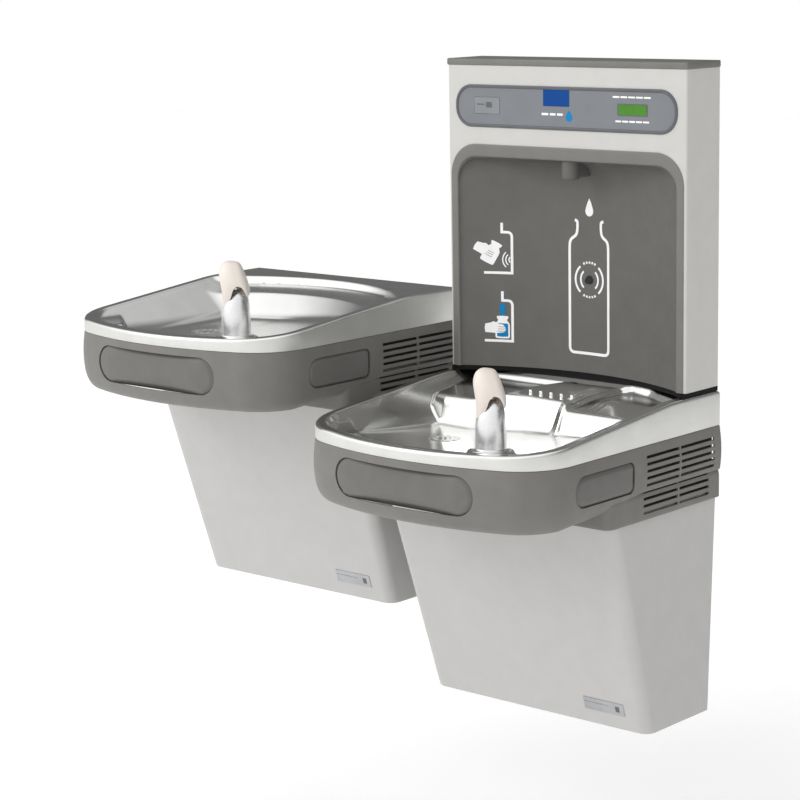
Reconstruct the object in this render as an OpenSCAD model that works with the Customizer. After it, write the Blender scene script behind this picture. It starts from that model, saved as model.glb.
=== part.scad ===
// Wall-mounted two-level drinking fountain with a bottle filler over the low unit.
// Millimetres, +Z up, +Y into the wall. The wall is the plane Y = 0.
// The origin is the centre of the low unit's hanger holes, on the wall.

/* [Units] */
// Width of each fountain unit
unit_w = 467; // [450:1:480]
// Distance from the wall to the front of the basin
basin_d = 490; // [480:1:500]
// Distance between the centre lines of the two units
unit_spacing = 520; // [500:1:620]
// How much higher the high unit hangs
level_step = 120; // [80:1:150]
// Height of the hanger holes above the cabinet's bottom edge
hanger_z = 430; // [428:1:432]

/* [Basin] */
// Radius of the bowed front
front_r = 555; // [520:1:600]
// Radius of the two front corners
corner_r = 91; // [80:1:100]
// Height of the skirt's lower edge
skirt_z = 463.5; // [460:0.5:466]
// Height of the rim at the front
rim_front_z = 484; // [482:0.5:487]
// Height of the flat rear deck
deck_z = 517; // [514:0.5:519]
// Depth of the flat rear deck
deck_d = 125; // [110:1:130]
// Width of the rolled rim
rim_w = 15; // [12:1:18]
// Height of the bowl's floor
floor_z = 450; // [446:0.5:452]
// Thickness of the basin sheet
sheet_t = 2; // [1.6:0.1:2.2]

/* [Apron] */
// Height of the apron's lowest front edge
apron_z = 366; // [362:1:370]
// Height where the side band ends above the lower collar
band_z = 392; // [388:1:394]
// Height of the collar's lower edge
collar_z = 349.5; // [346:0.5:352]
// Depth of the collar
collar_d = 288; // [284:1:292]
// How far the band swells past the basin on each side
swell = 3.5; // [2:0.5:4]
// Wall thickness of the apron
apron_t = 3; // [2.5:0.5:3.5]

/* [Push pads] */
// Length of the front pad
front_pad_w = 264; // [240:1:270]
// Height of the front pad
front_pad_h = 58; // [54:1:60]
// Length of each side pad
side_pad_w = 143; // [130:1:145]
// Height of each side pad
side_pad_h = 46; // [42:1:48]
// Gap around each pad
pad_gap = 0.8; // [0.6:0.1:1]

/* [Lower panel] */
// Width of the cabinet at its bottom edge
panel_w = 428; // [424:1:432]
// Depth of the cabinet at its bottom edge
panel_d = 160; // [158:1:164]
// Extra half width for each millimetre of height
panel_side_slope = 0.034; // [0.030:0.001:0.036]
// Extra depth for each millimetre of height
panel_front_slope = 0.31; // [0.300:0.001:0.312]

/* [Bottle filler] */
// Width of the filler case
filler_w = 460; // [456:1:462]
// Depth of the filler case
filler_d = 87; // [85:1:90]
// Bottom of the filler case
filler_z = 524.4; // [524:0.2:526]
// Top of the filler case, under its cap
filler_top = 1010; // [1000:1:1020]
// Thickness of the top cap
cap_t = 10.4; // [8:0.2:12]
// Width of the bottle alcove, outside its bezel
alcove_w = 450; // [444:1:451]
// Top of the alcove, outside its bezel
alcove_top = 886; // [880:1:888]
// Radius of the alcove's curved back wall
alcove_r = 423; // [415:1:430]
// Distance from the wall to the middle of the alcove's back
alcove_back = 26; // [24:1:30]

/* [Hidden] */
$fn = 96;
eps = 0.01;
fit = 0.4;
hull_fn = 32;
half_w = unit_w / 2;
low_at = [0, 0, -hanger_z];
high_at = [-unit_spacing, 0, level_step - hanger_z];

// Rim slope and bowl
rim_slope = (deck_z - rim_front_z) / (basin_d - 30 - deck_d);
drain_at = [-75, -290];
drain_hole_r = 20;
rib_count = 6;
rib_h = 3;
stud_count = 5;
high_deck_r = 340;
bubbler_at = [88, -380];
bubbler_z = 470;
bubbler_hole_r = 7;
bubbler_flange_r = 32;
bubbler_flange_h = 3;
bubbler_shaft = [25, 20, 42];
bubbler_dome = [20, 11, 32];
bubbler_bore_r = 5;
seat_r = [46, 34];
jet_at = 77;
jet_r = 8;
jet_h = 4;
jet_stem_r = 4.9;
jet_stem_len = 21;
jet_spout_r = 5;
jet_spout_len = 9;
jet_tilt = 40;
jet_bore_r = 2.5;
guard_turn = 25;
guard_arch = [26, 30];
guard_mid = [-8, 84];
guard_tip = [-32, 42];
guard_half_w = 16;
guard_tip_half_w = 7;
guard_r = 3.5;
strainer_r = 26;
strainer_h = 1.5;
strainer_holes = 6;
strainer_hole_r = 3;
strainer_ring_r = 12;
rib_at = [70, -165];
rib_step = [22, -7];
rib_size = [4, 95];
stud_at = [-46, -112];
stud_pitch = 21.5;
stud_r = 4;
stud_h = 5;

// Apron stack: [height, inset] pairs of its layers, swollen where the inset is negative
apron_top = skirt_z - 0.3;
apron_layers = [
    [apron_top, 0], [apron_top - 16, -0.6 * swell], [apron_top - 33, -swell],
    [apron_top - 54, -0.6 * swell], [band_z - 2, 0.5], [band_z - 12, 5], [band_z - 20, 12], [apron_z, 26]
];
collar_corner = 15;

// Louvres
slot_count = 9;
slot_pitch = 10.6;
slot_h = 4.3;
slot_first_z = 445.7;
slot_band_rows = 5;
slot_rib = 4;
slot_mid_y = -109;

// Push pads
front_pad_z = 421.5;
side_pad_y = -300;
side_pad_z = 421;
pad_depth = 9;
pad_proud = 1;
stem_r = 6;
stem_len = 14;

// Lower panel
panel_t = 1.6;
panel_top = 362;
panel_corner = 20;
panel_angle = atan(panel_front_slope);
panel_open = 30;
badge_at = [138, 36];
badge_size = [76, 1, 22];

// Wall hanger and frame
hanger_w = 340;
hanger_h = 52;
hanger_t = 3;
hanger_hole_x = 280;
hanger_hole_z = 30;
hanger_hole_r = 4.5;
post_x = 196;
post_w = 16;
post_d = 22;
post_top = 452;
arm_len = 399;
arm_h = 10;
rail_t = 3;
hook_d = 12;
shelf_set = 8;
base_z = 6;
base_t = 2;
foot_hole_z = 60;
foot_hole_r = 4;

// Plumbing
waste_r = 14;
waste_run_z = 402;
waste_fall = 6;
waste_trap_z = 290;
waste_wall_z = 330;
waste_drop_y = -80;
waste_side = -60;
waste_cup_r = 28;
waste_cup_h = 9;
waste_tail_r = 16;
waste_tail_len = 50;
supply_r = 4;
supply_tail_r = 4.75;
supply_tail_len = 28;
supply_drop_y = -40;
supply_wall = [170, 0, 300];
valve_at = [88, -380, 405];
valve_r = 15;
valve_h = 26;
valve_stem_r = 6;
valve_port_r = 7;
valve_port_len = 28;
valve_push_r = 5;
valve_push_len = 40;

// Cooling unit
compressor_at = [-105, -86];
compressor_r = 56;
compressor_z = 22;
compressor_h = 100;
compressor_dome_r = 34;
compressor_dome_h = 24;
compressor_foot = [24, 60, 5];
compressor_foot_x = 48;
grommet_r = 7;
grommet_h = 11;
grommet_at = [52, 20];
coil_w = 160;
coil_d = 36;
coil_h = 150;
coil_y = -158;
coil_fins = 13;
coil_pitch = 13;
coil_fin_t = 3;
coil_tube_r = 4;
coil_tube_at = [-148, 40];
coil_tube_pitch = [16, 45];
shroud_y = -119.5;
shroud_t = 2;
shroud_h = 202;
shroud_d = 70;
shroud_lip = 4;
strut_w = 20;
strut_y = -71;
motor_r = 27;
motor_y = [-69.6, -34];
shaft_r = 4;
shaft_front_y = -104;
fan_at = [95, 128];
fan_y = -108;
fan_r = 66;
fan_hub_r = 15;
fan_hub_h = 16;
fan_blades = 4;
blade_w = 30;
blade_turn = 32;
tank_at = [110, -66];
tank_r = 42;
tank_z = 226;
tank_h = 120;
tank_cap_r = 10;
tank_cap_h = 12;
cold_line_r = 3;
cold_line_z = 190;
cold_line_top = 240;
filter_at = [45, -82];
filter_r = 38;
filter_top = 300;
filter_len = 228;
filter_end_r = 28;
filter_end_h = 6;
filter_neck_r = 20;
filter_neck_h = 20;
filter_head_h = 30;
filter_port_r = 8;
filter_port_len = 18;
filter_arm = [40, 22];
gland_at = [-150, -14];
gland_r = 9;
gland_bore_r = 5;
gland_body_h = 18;

// Filler
alcove_mid_y = -alcove_back - alcove_r;
alcove_corner = 50;
bezel_side = 13;
bezel_top = 20;
bezel_proud = 1.5;
plate_w = 427;
plate_h = 67;
plate_z = 946.5;
plate_rim = 5;
display_at = [131, 948];
display_w = 54;
display_h = 15;
nozzle_y = -68;
nozzle_z = 836;
nozzle_r = 13;
sensor_z = 672;
nozzle_bore_r = 6;
nozzle_body = [18, 8];
filler_plate_w = 380;
filler_plate_z = 960;
filler_plate_h = 70;
filler_plate_t = 3;
filler_hole_r = 4;
filler_line_r = 4;
filler_line_z = 900;
filler_valve_at = [160, -28, 600];
filler_valve_r = 11;
filler_valve_h = 60;
filler_coil = [32, 32, 30];
board_size = [150, 48];
board_x = 30;
board_t = 1.6;
board_gap = 12;
chip_size = [18, 22];
chip_h = 10.5;
chip_x = [45, 80, 150];
gasket_cut = [20, 22];
case_t = 1.6;

UNIT_PARTS = [
    "basin", "apron", "front_pad", "left_pad", "right_pad", "panel", "badge", "bubbler",
    "mouth_guard", "bubbler_nozzle", "strainer", "drain_trap", "frame", "hanger", "regulator",
    "supply_tube"
];

// ---------- shared shapes ----------

// Plan of the basin, from the wall to the bowed front, drawn in by a given inset
module plan(inset = 0) {
    intersection() {
        offset(r = corner_r - inset)
            offset(delta = -corner_r)
                intersection() {
                    translate([0, front_r - basin_d])
                        circle(r = front_r);
                    translate([-half_w, -basin_d - 1])
                        square([unit_w, 2 * basin_d]);
                }
        translate([-unit_w, -2 * basin_d])
            square([2 * unit_w, 2 * basin_d]);
    }
}

// A solid with a YZ outline, as wide as the unit and more
module side_prism(points) {
    rotate([90, 0, 90])
        translate([0, 0, -unit_w])
            linear_extrude(2 * unit_w)
                polygon(points);
}

// Everything under the sloping rim, lowered by drop
module under_rim(drop = 0) {
    front = basin_d + 40;
    front_z = rim_front_z - rim_slope * (front - basin_d + 30);
    side_prism([
        [20, skirt_z - 40], [20, deck_z - drop], [-deck_d, deck_z - drop],
        [-front, front_z - drop], [-front, skirt_z - 40]
    ]);
}

// A rounded bar lying along X, as an outline in X and Z
module slot_outline(w, h) {
    for (side = [-1, 1])
        translate([side * (w - h) / 2, 0])
            circle(r = h / 2);
    square([w - h, h], center = true);
}

// Extrudes an XZ outline along Y, from y0 to y1
module along_y(y0, y1) {
    translate([0, y1, 0])
        rotate([90, 0, 0])
            linear_extrude(y1 - y0)
                children();
}

// A straight round bar between two points
module bar(a, b, r) {
    d = b - a;
    translate(a)
        rotate([0, acos(d.z / norm(d)), atan2(d.y, d.x)])
            cylinder(r = r, h = norm(d));
}

// A pipe run through points, with a ball fitting at each turn
module pipe(points, r) {
    for (i = [0 : len(points) - 2])
        bar(points[i], points[i + 1], r);
    for (i = [1 : 1 : len(points) - 2])
        translate(points[i])
            sphere(r = r + 1.8);
}

// ---------- basins ----------

// Plan of the bowl's mouth, without what fills its rear
module bowl_plan(inset = 0) {
    intersection() {
        plan(rim_w + inset);
        translate([-unit_w, -2 * basin_d])
            square([2 * unit_w, 2 * basin_d - 40]);
    }
}

// Rear boundary of the high bowl: all in front of a broad arc
module high_bowl(inset = 0) {
    intersection() {
        bowl_plan(inset);
        translate([0, -high_deck_r - 45])
            circle(r = high_deck_r - inset);
    }
}

// Rear boundary of the low bowl: a drip shelf fills the rear, with a nose at its left end
module low_bowl(inset = 0) {
    difference() {
        bowl_plan(inset);
        offset(r = inset)
            low_shelf();
    }
}

module low_shelf() {
    offset(r = 12)
        offset(delta = -12)
            polygon([
                [-half_w, 0], [-150, -80], [-150, -245], [-112, -272], [-60, -190], [62, -182],
                [78, -205], [half_w, -258], [half_w, 0]
            ]);
}

// The pressed basin: skirt, sloping rim sheet and tub, with its bowl outline as child 0
// and the bowl outline grown by one sheet as child 1
module basin_body() {
    difference() {
        union() {
            difference() {
                intersection() {
                    translate([0, 0, skirt_z])
                        linear_extrude(deck_z)
                            plan();
                    under_rim();
                }
                intersection() {
                    translate([0, 0, skirt_z - 1])
                        linear_extrude(deck_z)
                            plan(sheet_t);
                    under_rim(sheet_t);
                }
            }
            intersection() {
                translate([0, 0, floor_z - sheet_t])
                    linear_extrude(deck_z)
                        children(1);
                under_rim();
            }
        }
        translate([0, 0, floor_z])
            linear_extrude(deck_z)
                children(0);
        translate([drain_at.x, drain_at.y, floor_z - 20])
            cylinder(r = drain_hole_r, h = 40);
        translate([bubbler_at.x, bubbler_at.y, floor_z - 20])
            cylinder(r = bubbler_hole_r, h = 60);
    }
}

// Raised seat that the bubbler stands on
module bubbler_seat() {
    difference() {
        translate([bubbler_at.x, bubbler_at.y, floor_z - eps])
            cylinder(r1 = seat_r[0], r2 = seat_r[1], h = bubbler_z - floor_z);
        translate([bubbler_at.x, bubbler_at.y, floor_z - 5])
            cylinder(r = bubbler_hole_r, h = 60);
    }
}

// Ribs and round studs that a bottle's drips run off, standing on the sloping shelf
module drip_ribs() {
    intersection() {
        for (i = [0 : rib_count - 1])
            translate([rib_at.x + rib_step.x * i, rib_at.y + rib_step.y * i, skirt_z + 40])
                cube([rib_size.x, rib_size.y + 4 * i, 50]);
        under_rim(-rib_h);
    }
    for (i = [0 : stud_count - 1])
        translate([stud_at.x + stud_pitch * i, stud_at.y, deck_z - 1])
            cylinder(r = stud_r, h = stud_h);
}

module low_basin() {
    color([0.80, 0.80, 0.79]) {
        basin_body() {
            low_bowl();
            low_bowl(-sheet_t);
        }
        bubbler_seat();
        drip_ribs();
    }
}

module high_basin() {
    color([0.80, 0.80, 0.79]) {
        basin_body() {
            high_bowl();
            high_bowl(-sheet_t);
        }
        bubbler_seat();
    }
}

// ---------- apron ----------

module apron_volume(inset = 0) {
    hull()
        for (layer = apron_layers)
            translate([0, 0, layer[0] - (layer == apron_layers[0] ? 0.5 : 0)])
                linear_extrude(0.5)
                    plan(layer[1] + inset);
}

// The band's side outline: low at the front, higher towards the wall
module band_profile(lift = 0) {
    side_prism([
        [1, apron_top + 20], [1, band_z + lift], [-205, band_z + lift], [-285, 376 + lift],
        [-390, apron_z + lift], [-2 * basin_d, apron_z + lift], [-2 * basin_d, apron_top + 20]
    ]);
}

module collar_plan(inset) {
    intersection() {
        offset(r = collar_corner - inset)
            translate([-half_w + 0.5 + collar_corner, -collar_d + collar_corner])
                square([unit_w - 1 - 2 * collar_corner, 2 * collar_d]);
        translate([-unit_w, -basin_d])
            square([2 * unit_w, basin_d]);
    }
}

module slots() {
    for (row = [0 : slot_count - 1])
        for (col = [0, 1]) {
            in_band = row < slot_band_rows;
            rear = in_band ? -18 : -28;
            front = in_band ? -196 : -200;
            y0 = col == 0 ? front : slot_mid_y + slot_rib / 2;
            y1 = col == 0 ? slot_mid_y - slot_rib / 2 : rear;
            translate([-unit_w, y0, slot_first_z - row * slot_pitch - slot_h / 2])
                cube([2 * unit_w, y1 - y0, slot_h]);
        }
}

module apron() {
    color([0.47, 0.46, 0.44])
        difference() {
            union() {
                intersection() {
                    apron_volume();
                    band_profile();
                }
                translate([0, 0, collar_z])
                    linear_extrude(band_z + 20 - collar_z)
                        collar_plan(0);
            }
            intersection() {
                apron_volume(apron_t);
                band_profile(apron_t);
            }
            translate([0, 0, apron_top - apron_t - 5])
                linear_extrude(20)
                    plan(apron_t);
            translate([0, 0, collar_z - 1])
                linear_extrude(band_z + 40 - collar_z)
                    collar_plan(apron_t);
            slots();
            along_y(-basin_d - 10, -basin_d + 60)
                translate([0, front_pad_z])
                    slot_outline(front_pad_w + 2 * pad_gap, front_pad_h + 2 * pad_gap);
            for (side = [-1, 1])
                side_pad_prism(side, pad_gap);
        }
}

// ---------- push pads ----------

// D-shaped prism through one side wall: round towards the front, square towards the wall
module side_pad_prism(side, grow = 0) {
    h = side_pad_h + 2 * grow;
    w = side_pad_w + 2 * grow;
    translate([side * half_w, side_pad_y, side_pad_z])
        rotate([90, 0, 90])
            translate([0, 0, -30])
                linear_extrude(60) {
                    translate([-w / 2 + h / 2, 0])
                        circle(r = h / 2);
                    translate([-w / 2 + h / 2, -h / 2])
                        square([w - h / 2, h]);
                }
}

module front_pad() {
    color([0.47, 0.45, 0.44]) {
        intersection() {
            difference() {
                apron_volume(-pad_proud);
                apron_volume(pad_depth);
            }
            along_y(-basin_d - 10, -basin_d + 60)
                translate([0, front_pad_z])
                    slot_outline(front_pad_w, front_pad_h);
        }
        for (side = [-1, 1])
            translate([side * 60, -basin_d + pad_depth + stem_len, front_pad_z])
                rotate([90, 0, 0])
                    cylinder(r = stem_r, h = stem_len + 3);
    }
}

module side_pad(side) {
    color([0.45, 0.44, 0.43]) {
        intersection() {
            difference() {
                apron_volume(-pad_proud);
                apron_volume(pad_depth);
            }
            side_pad_prism(side);
        }
        translate([side * (half_w - pad_depth - stem_len), side_pad_y, side_pad_z])
            rotate([0, side * 90, 0])
                cylinder(r = stem_r, h = stem_len + 4);
    }
}

// ---------- lower panel ----------

function panel_half_w(z) = panel_w / 2 + panel_side_slope * z;
function panel_depth(z) = panel_d + panel_front_slope * z;

// Plan of the cabinet at height z, square at the wall and round at the front
module panel_plan(z, inset) {
    r = panel_corner - inset;
    x = panel_half_w(z) - inset - r;
    y = -panel_depth(z) + inset + r;
    for (side = [-1, 1]) {
        translate([side * x, y])
            circle(r = r, $fn = hull_fn);
        translate([side * (x + r) - (side > 0 ? 1 : 0), -1])
            square([1, 1]);
    }
}

module panel_volume(inset, z0, z1) {
    hull()
        for (z = [z0, z1])
            translate([0, 0, z])
                linear_extrude(eps)
                    panel_plan(z, inset);
}

module panel() {
    color([0.79, 0.79, 0.78])
        difference() {
            panel_volume(0, 0, panel_top);
            difference() {
                panel_volume(panel_t, -1, panel_top + 1);
                translate([-unit_w, -basin_d, -1])
                    cube([2 * unit_w, basin_d - 1 - panel_t, 1 + panel_t]);
            }
            translate([-panel_w / 2 + panel_open, -panel_d + panel_open, -5])
                cube([panel_w - 2 * panel_open, panel_d, 10]);
            translate([-unit_w, -1.5, -5])
                cube([2 * unit_w, 10, 5 + base_z - 3]);
        }
}

module badge() {
    color([0.72, 0.72, 0.72])
        translate([badge_at.x, -panel_depth(badge_at.y) - 5 * eps, badge_at.y])
            rotate([panel_angle, 0, 0])
                translate([-badge_size.x / 2, -badge_size.y, -badge_size.z / 2])
                    cube(badge_size);
}

// ---------- bubbler ----------

// Tapered spout body with a flange, bored for the water line
module bubbler() {
    color([0.82, 0.82, 0.82])
        translate([bubbler_at.x, bubbler_at.y, bubbler_z])
            difference() {
                union() {
                    cylinder(r = bubbler_flange_r, h = bubbler_flange_h);
                    translate([0, 0, floor_z - sheet_t - bubbler_z + fit])
                        cylinder(r = bubbler_hole_r - fit, h = bubbler_z - floor_z + sheet_t);
                    translate([0, 0, bubbler_flange_h - eps])
                        cylinder(r1 = bubbler_shaft[0], r2 = bubbler_shaft[1], h = bubbler_shaft[2]);
                    translate([0, 0, bubbler_flange_h + bubbler_shaft[2] - eps])
                        cylinder(r1 = bubbler_dome[0], r2 = bubbler_dome[1], h = bubbler_dome[2]);
                }
                translate([0, 0, -30])
                    cylinder(r = bubbler_bore_r, h = 120);
            }
}

module bubbler_nozzle() {
    color([0.85, 0.85, 0.85])
        translate([bubbler_at.x, bubbler_at.y, bubbler_z + jet_at])
            difference() {
                union() {
                    cylinder(r = jet_r, h = jet_h);
                    translate([0, 0, 1 - jet_stem_len])
                        cylinder(r = jet_stem_r, h = jet_stem_len);
                    translate([-jet_h / 2, 0, jet_h])
                        rotate([0, -jet_tilt, 0])
                            cylinder(r = jet_spout_r, h = jet_spout_len);
                }
                translate([0, 0, -jet_stem_len - jet_h])
                    cylinder(r = jet_bore_r, h = jet_stem_len + 2 * jet_h + 3);
            }
}

// Flexible hood that arches over the nozzle and hangs down on the user's side
module mouth_guard() {
    arch = [
        for (a = [-10 : 38 : 180])
            [guard_mid[0] + guard_arch[0] * cos(a), 0, bubbler_z + guard_mid[1] + guard_arch[1] * sin(a)]
    ];
    tip = [guard_tip[0], 0, bubbler_z + guard_tip[1]];
    points = concat(arch, [tip]);
    color([0.90, 0.86, 0.83])
        translate([bubbler_at.x, bubbler_at.y, 0])
            rotate([0, 0, guard_turn])
                for (i = [0 : len(points) - 2])
                    hull() {
                        guard_slice(points[i], i);
                        guard_slice(points[i + 1], i + 1);
                    }
}

module guard_slice(p, i) {
    half = i == 6 ? guard_tip_half_w : guard_half_w;
    for (side = [-1, 1])
        translate([p.x, side * half, p.z])
            sphere(r = guard_r, $fn = 16);
}

// ---------- drain ----------

module strainer() {
    color([0.70, 0.70, 0.70])
        translate([drain_at.x, drain_at.y, floor_z])
            difference() {
                union() {
                    cylinder(r = strainer_r, h = strainer_h);
                    translate([0, 0, -5])
                        cylinder(r = drain_hole_r - fit, h = 5 + eps);
                }
                for (i = [1 : strainer_holes])
                    rotate([0, 0, 360 / strainer_holes * i])
                        translate([strainer_ring_r, 0, -10])
                            cylinder(r = strainer_hole_r, h = 20);
                translate([0, 0, -10])
                    cylinder(r = strainer_hole_r, h = 20);
            }
}

// Waste pipe: back under the basin, down, through the trap and out to the wall
module drain_trap() {
    cup_z = floor_z - sheet_t - waste_cup_h;
    wall_x = drain_at.x + waste_side;
    color([0.25, 0.25, 0.26]) {
        translate([drain_at.x, drain_at.y, cup_z])
            difference() {
                cylinder(r = waste_cup_r, h = waste_cup_h - fit);
                translate([0, 0, waste_cup_h / 3])
                    cylinder(r = drain_hole_r + fit, h = waste_cup_h);
            }
        pipe([
            [drain_at.x, drain_at.y, cup_z + 1], [drain_at.x, drain_at.y, waste_run_z],
            [drain_at.x, waste_drop_y, waste_run_z - waste_fall], [drain_at.x, waste_drop_y, waste_trap_z],
            [wall_x, waste_drop_y, waste_trap_z], [wall_x, waste_drop_y, waste_wall_z],
            [wall_x, -waste_tail_len / 2, waste_wall_z]
        ], waste_r);
        translate([wall_x, -waste_tail_len, waste_wall_z])
            rotate([-90, 0, 0])
                cylinder(r = waste_tail_r, h = waste_tail_len);
    }
}

// ---------- frame ----------

module hanger() {
    color([0.62, 0.63, 0.64])
        difference() {
            union() {
                translate([-hanger_w / 2, -hanger_t, hanger_z - hanger_h / 2])
                    cube([hanger_w, hanger_t, hanger_h]);
                translate([-hanger_w / 2, -hanger_t - hook_d, hanger_z + hanger_h / 2 - hanger_t])
                    cube([hanger_w, hook_d + eps, hanger_t]);
            }
            for (x = [-1, 1])
                for (z = [-1, 1])
                    translate([x * hanger_hole_x / 2, -50, hanger_z + z * hanger_hole_z / 2])
                        rotate([-90, 0, 0])
                            cylinder(r = hanger_hole_r, h = 100);
        }
}

// Two posts on the wall, a top hook rail, arms under the basin and a base shelf
module frame() {
    arm_z = skirt_z - 26;
    color([0.62, 0.63, 0.64])
        difference() {
            union() {
                for (side = [-1, 1]) {
                    translate([side * post_x - post_w / 2, -post_d, base_z])
                        cube([post_w, post_d, post_top - base_z]);
                    translate([side * post_x - post_w / 2, -arm_len - 1, arm_z])
                        cube([post_w, arm_len, arm_h]);
                }
                translate([-post_x, -post_d, hanger_z])
                    cube([2 * post_x, rail_t, hanger_h / 2 + rail_t]);
                translate([-post_x, -post_d, hanger_z + hanger_h / 2 + 1])
                    cube([2 * post_x, post_d - hook_d / 2, rail_t - 1]);
                translate([-post_x - shelf_set + 2, -panel_d + shelf_set, base_z])
                    cube([2 * (post_x + shelf_set - 2), panel_d - shelf_set, base_t]);
            }
            for (side = [-1, 1])
                translate([side * post_x, -100, foot_hole_z])
                    rotate([-90, 0, 0])
                        cylinder(r = foot_hole_r, h = 200);
            translate([gland_at.x, gland_at.y, 0])
                cylinder(r = gland_r + fit, h = 20);
        }
}

// ---------- water control ----------

module regulator() {
    color([0.72, 0.62, 0.36])
        translate(valve_at) {
            cylinder(r = valve_r, h = valve_h);
            translate([0, 0, valve_h - eps])
                cylinder(r = valve_stem_r, h = floor_z - sheet_t - valve_at.z - valve_h - fit);
            translate([0, 0, valve_h / 2])
                rotate([0, 90, 0])
                    cylinder(r = valve_port_r, h = valve_port_len);
            translate([0, 0, valve_h / 2])
                rotate([90, 0, 0])
                    cylinder(r = valve_push_r, h = valve_push_len);
        }
}

module supply_tube() {
    out_x = valve_at.x + valve_port_len + fit;
    out_z = valve_at.z + valve_h / 2;
    color([0.80, 0.80, 0.78]) {
        pipe([
            [out_x, valve_at.y, out_z], [supply_wall.x, valve_at.y, out_z],
            [supply_wall.x, supply_drop_y, out_z], [supply_wall.x, supply_drop_y, supply_wall.z],
            [supply_wall.x, -supply_tail_len / 2, supply_wall.z]
        ], supply_r);
        translate([supply_wall.x, -supply_tail_len, supply_wall.z])
            rotate([-90, 0, 0])
                cylinder(r = supply_tail_r, h = supply_tail_len);
    }
}

// ---------- cooling unit, in the low cabinet ----------

module compressor() {
    color([0.10, 0.10, 0.11])
        translate([compressor_at.x, compressor_at.y, 0]) {
            translate([0, 0, compressor_z])
                cylinder(r = compressor_r, h = compressor_h);
            translate([0, 0, compressor_z + compressor_h - eps])
                cylinder(r1 = compressor_r, r2 = compressor_dome_r, h = compressor_dome_h);
            for (x = [-1, 1])
                translate([x * compressor_foot_x, 0, compressor_z - 4])
                    translate([-compressor_foot.x / 2, -compressor_foot.y / 2, 0])
                        cube(compressor_foot);
            for (x = [-1, 1])
                for (y = [-1, 1])
                    translate([x * grommet_at.x, y * grommet_at.y, base_z + base_t])
                        cylinder(r = grommet_r, h = grommet_h);
        }
}

module condenser() {
    x0 = fan_at.x - coil_w / 2;
    color([0.55, 0.56, 0.57]) {
        for (i = [0 : coil_fins - 1])
            translate([x0 + i * coil_pitch, coil_y, base_z + base_t + 2])
                cube([coil_fin_t, coil_d, coil_h]);
        for (row = [0 : 2])
            for (col = [0, 1])
                translate([x0 - 6, coil_tube_at.x + coil_tube_pitch.x * col, 0])
                    translate([0, 0, coil_tube_at.y + coil_tube_pitch.y * row])
                        rotate([0, 90, 0])
                            cylinder(r = coil_tube_r, h = coil_w + 10);
        translate([x0 - 2, coil_y, base_z + base_t])
            cube([coil_w + 5, coil_d, coil_fin_t]);
    }
}

module fan_shroud() {
    x0 = fan_at.x - coil_w / 2;
    shelf_z = base_z + base_t;
    color([0.50, 0.51, 0.52])
        difference() {
            union() {
                along_y(shroud_y - shroud_t / 2, shroud_y + shroud_t / 2)
                    translate([x0, shelf_z])
                        square([coil_w, shroud_h]);
                translate([x0, shroud_y - 0.5, shelf_z])
                    cube([coil_w, shroud_d, shroud_t]);
                for (x = [x0 + shroud_lip, x0 + coil_w - 2 * shroud_lip])
                    translate([x, shroud_y + 0.5, shelf_z])
                        cube([shroud_lip, shroud_d - shroud_lip, 14]);
                along_y(strut_y - shroud_t / 2, strut_y + shroud_t / 2)
                    translate([fan_at.x - strut_w / 2, shelf_z])
                        square([strut_w, fan_at.y]);
            }
            along_y(shroud_y - 10, shroud_y + 10)
                translate([fan_at.x, fan_at.y])
                    circle(r = fan_r + 4);
            along_y(strut_y - 10, strut_y + 10)
                translate([fan_at.x, fan_at.y])
                    circle(r = shaft_r + 2);
        }
}

module fan_motor() {
    color([0.30, 0.31, 0.33]) {
        along_y(motor_y[0], motor_y[1])
            translate([fan_at.x, fan_at.y])
                circle(r = motor_r);
        along_y(shaft_front_y, motor_y[0])
            translate([fan_at.x, fan_at.y])
                circle(r = shaft_r);
    }
}

module fan() {
    color([0.75, 0.76, 0.78])
        translate([fan_at.x, 0, fan_at.y])
            difference() {
                union() {
                    along_y(fan_y - 2, fan_y - 2 + fan_hub_h)
                        circle(r = fan_hub_r);
                    for (i = [1 : fan_blades])
                        rotate([0, 360 / fan_blades * i + 20, 0])
                            translate([fan_hub_r - 3, fan_y + 5, 0])
                                rotate([blade_turn, 0, 0])
                                    translate([0, -1, -blade_w / 2])
                                        cube([fan_r - fan_hub_r, 2, blade_w]);
                }
                along_y(fan_y - 10, fan_y + 30)
                    circle(r = shaft_r + 6 * eps);
            }
}

module cooling_tank() {
    color([0.85, 0.83, 0.72])
        translate([tank_at.x, tank_at.y, tank_z]) {
            cylinder(r = tank_r, h = tank_h);
            translate([0, 0, tank_h - eps])
                cylinder(r = tank_cap_r, h = tank_cap_h);
        }
}

module cold_line() {
    start = [compressor_at.x + 20, compressor_at.y, compressor_z + compressor_h + compressor_dome_h + fit];
    turn_x = tank_at.x - 80;
    color([0.72, 0.45, 0.28])
        pipe([
            start, [start.x, start.y, cold_line_z], [turn_x, start.y, cold_line_z],
            [turn_x, tank_at.y, cold_line_top], [tank_at.x - tank_r - fit, tank_at.y, cold_line_top]
        ], cold_line_r);
}

module power_gland() {
    color([0.08, 0.08, 0.09])
        translate([gland_at.x, gland_at.y, 0])
            difference() {
                union() {
                    translate([0, 0, base_z - 4])
                        cylinder(r = gland_r + 3, h = 4);
                    translate([0, 0, base_z - eps])
                        cylinder(r = gland_r, h = gland_body_h);
                    translate([0, 0, base_z + base_t])
                        cylinder(r = gland_r + 2, h = gland_body_h / 3);
                }
                translate([0, 0, -5])
                    cylinder(r = gland_bore_r, h = 60);
            }
}

// ---------- filter, in the high cabinet ----------

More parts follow.
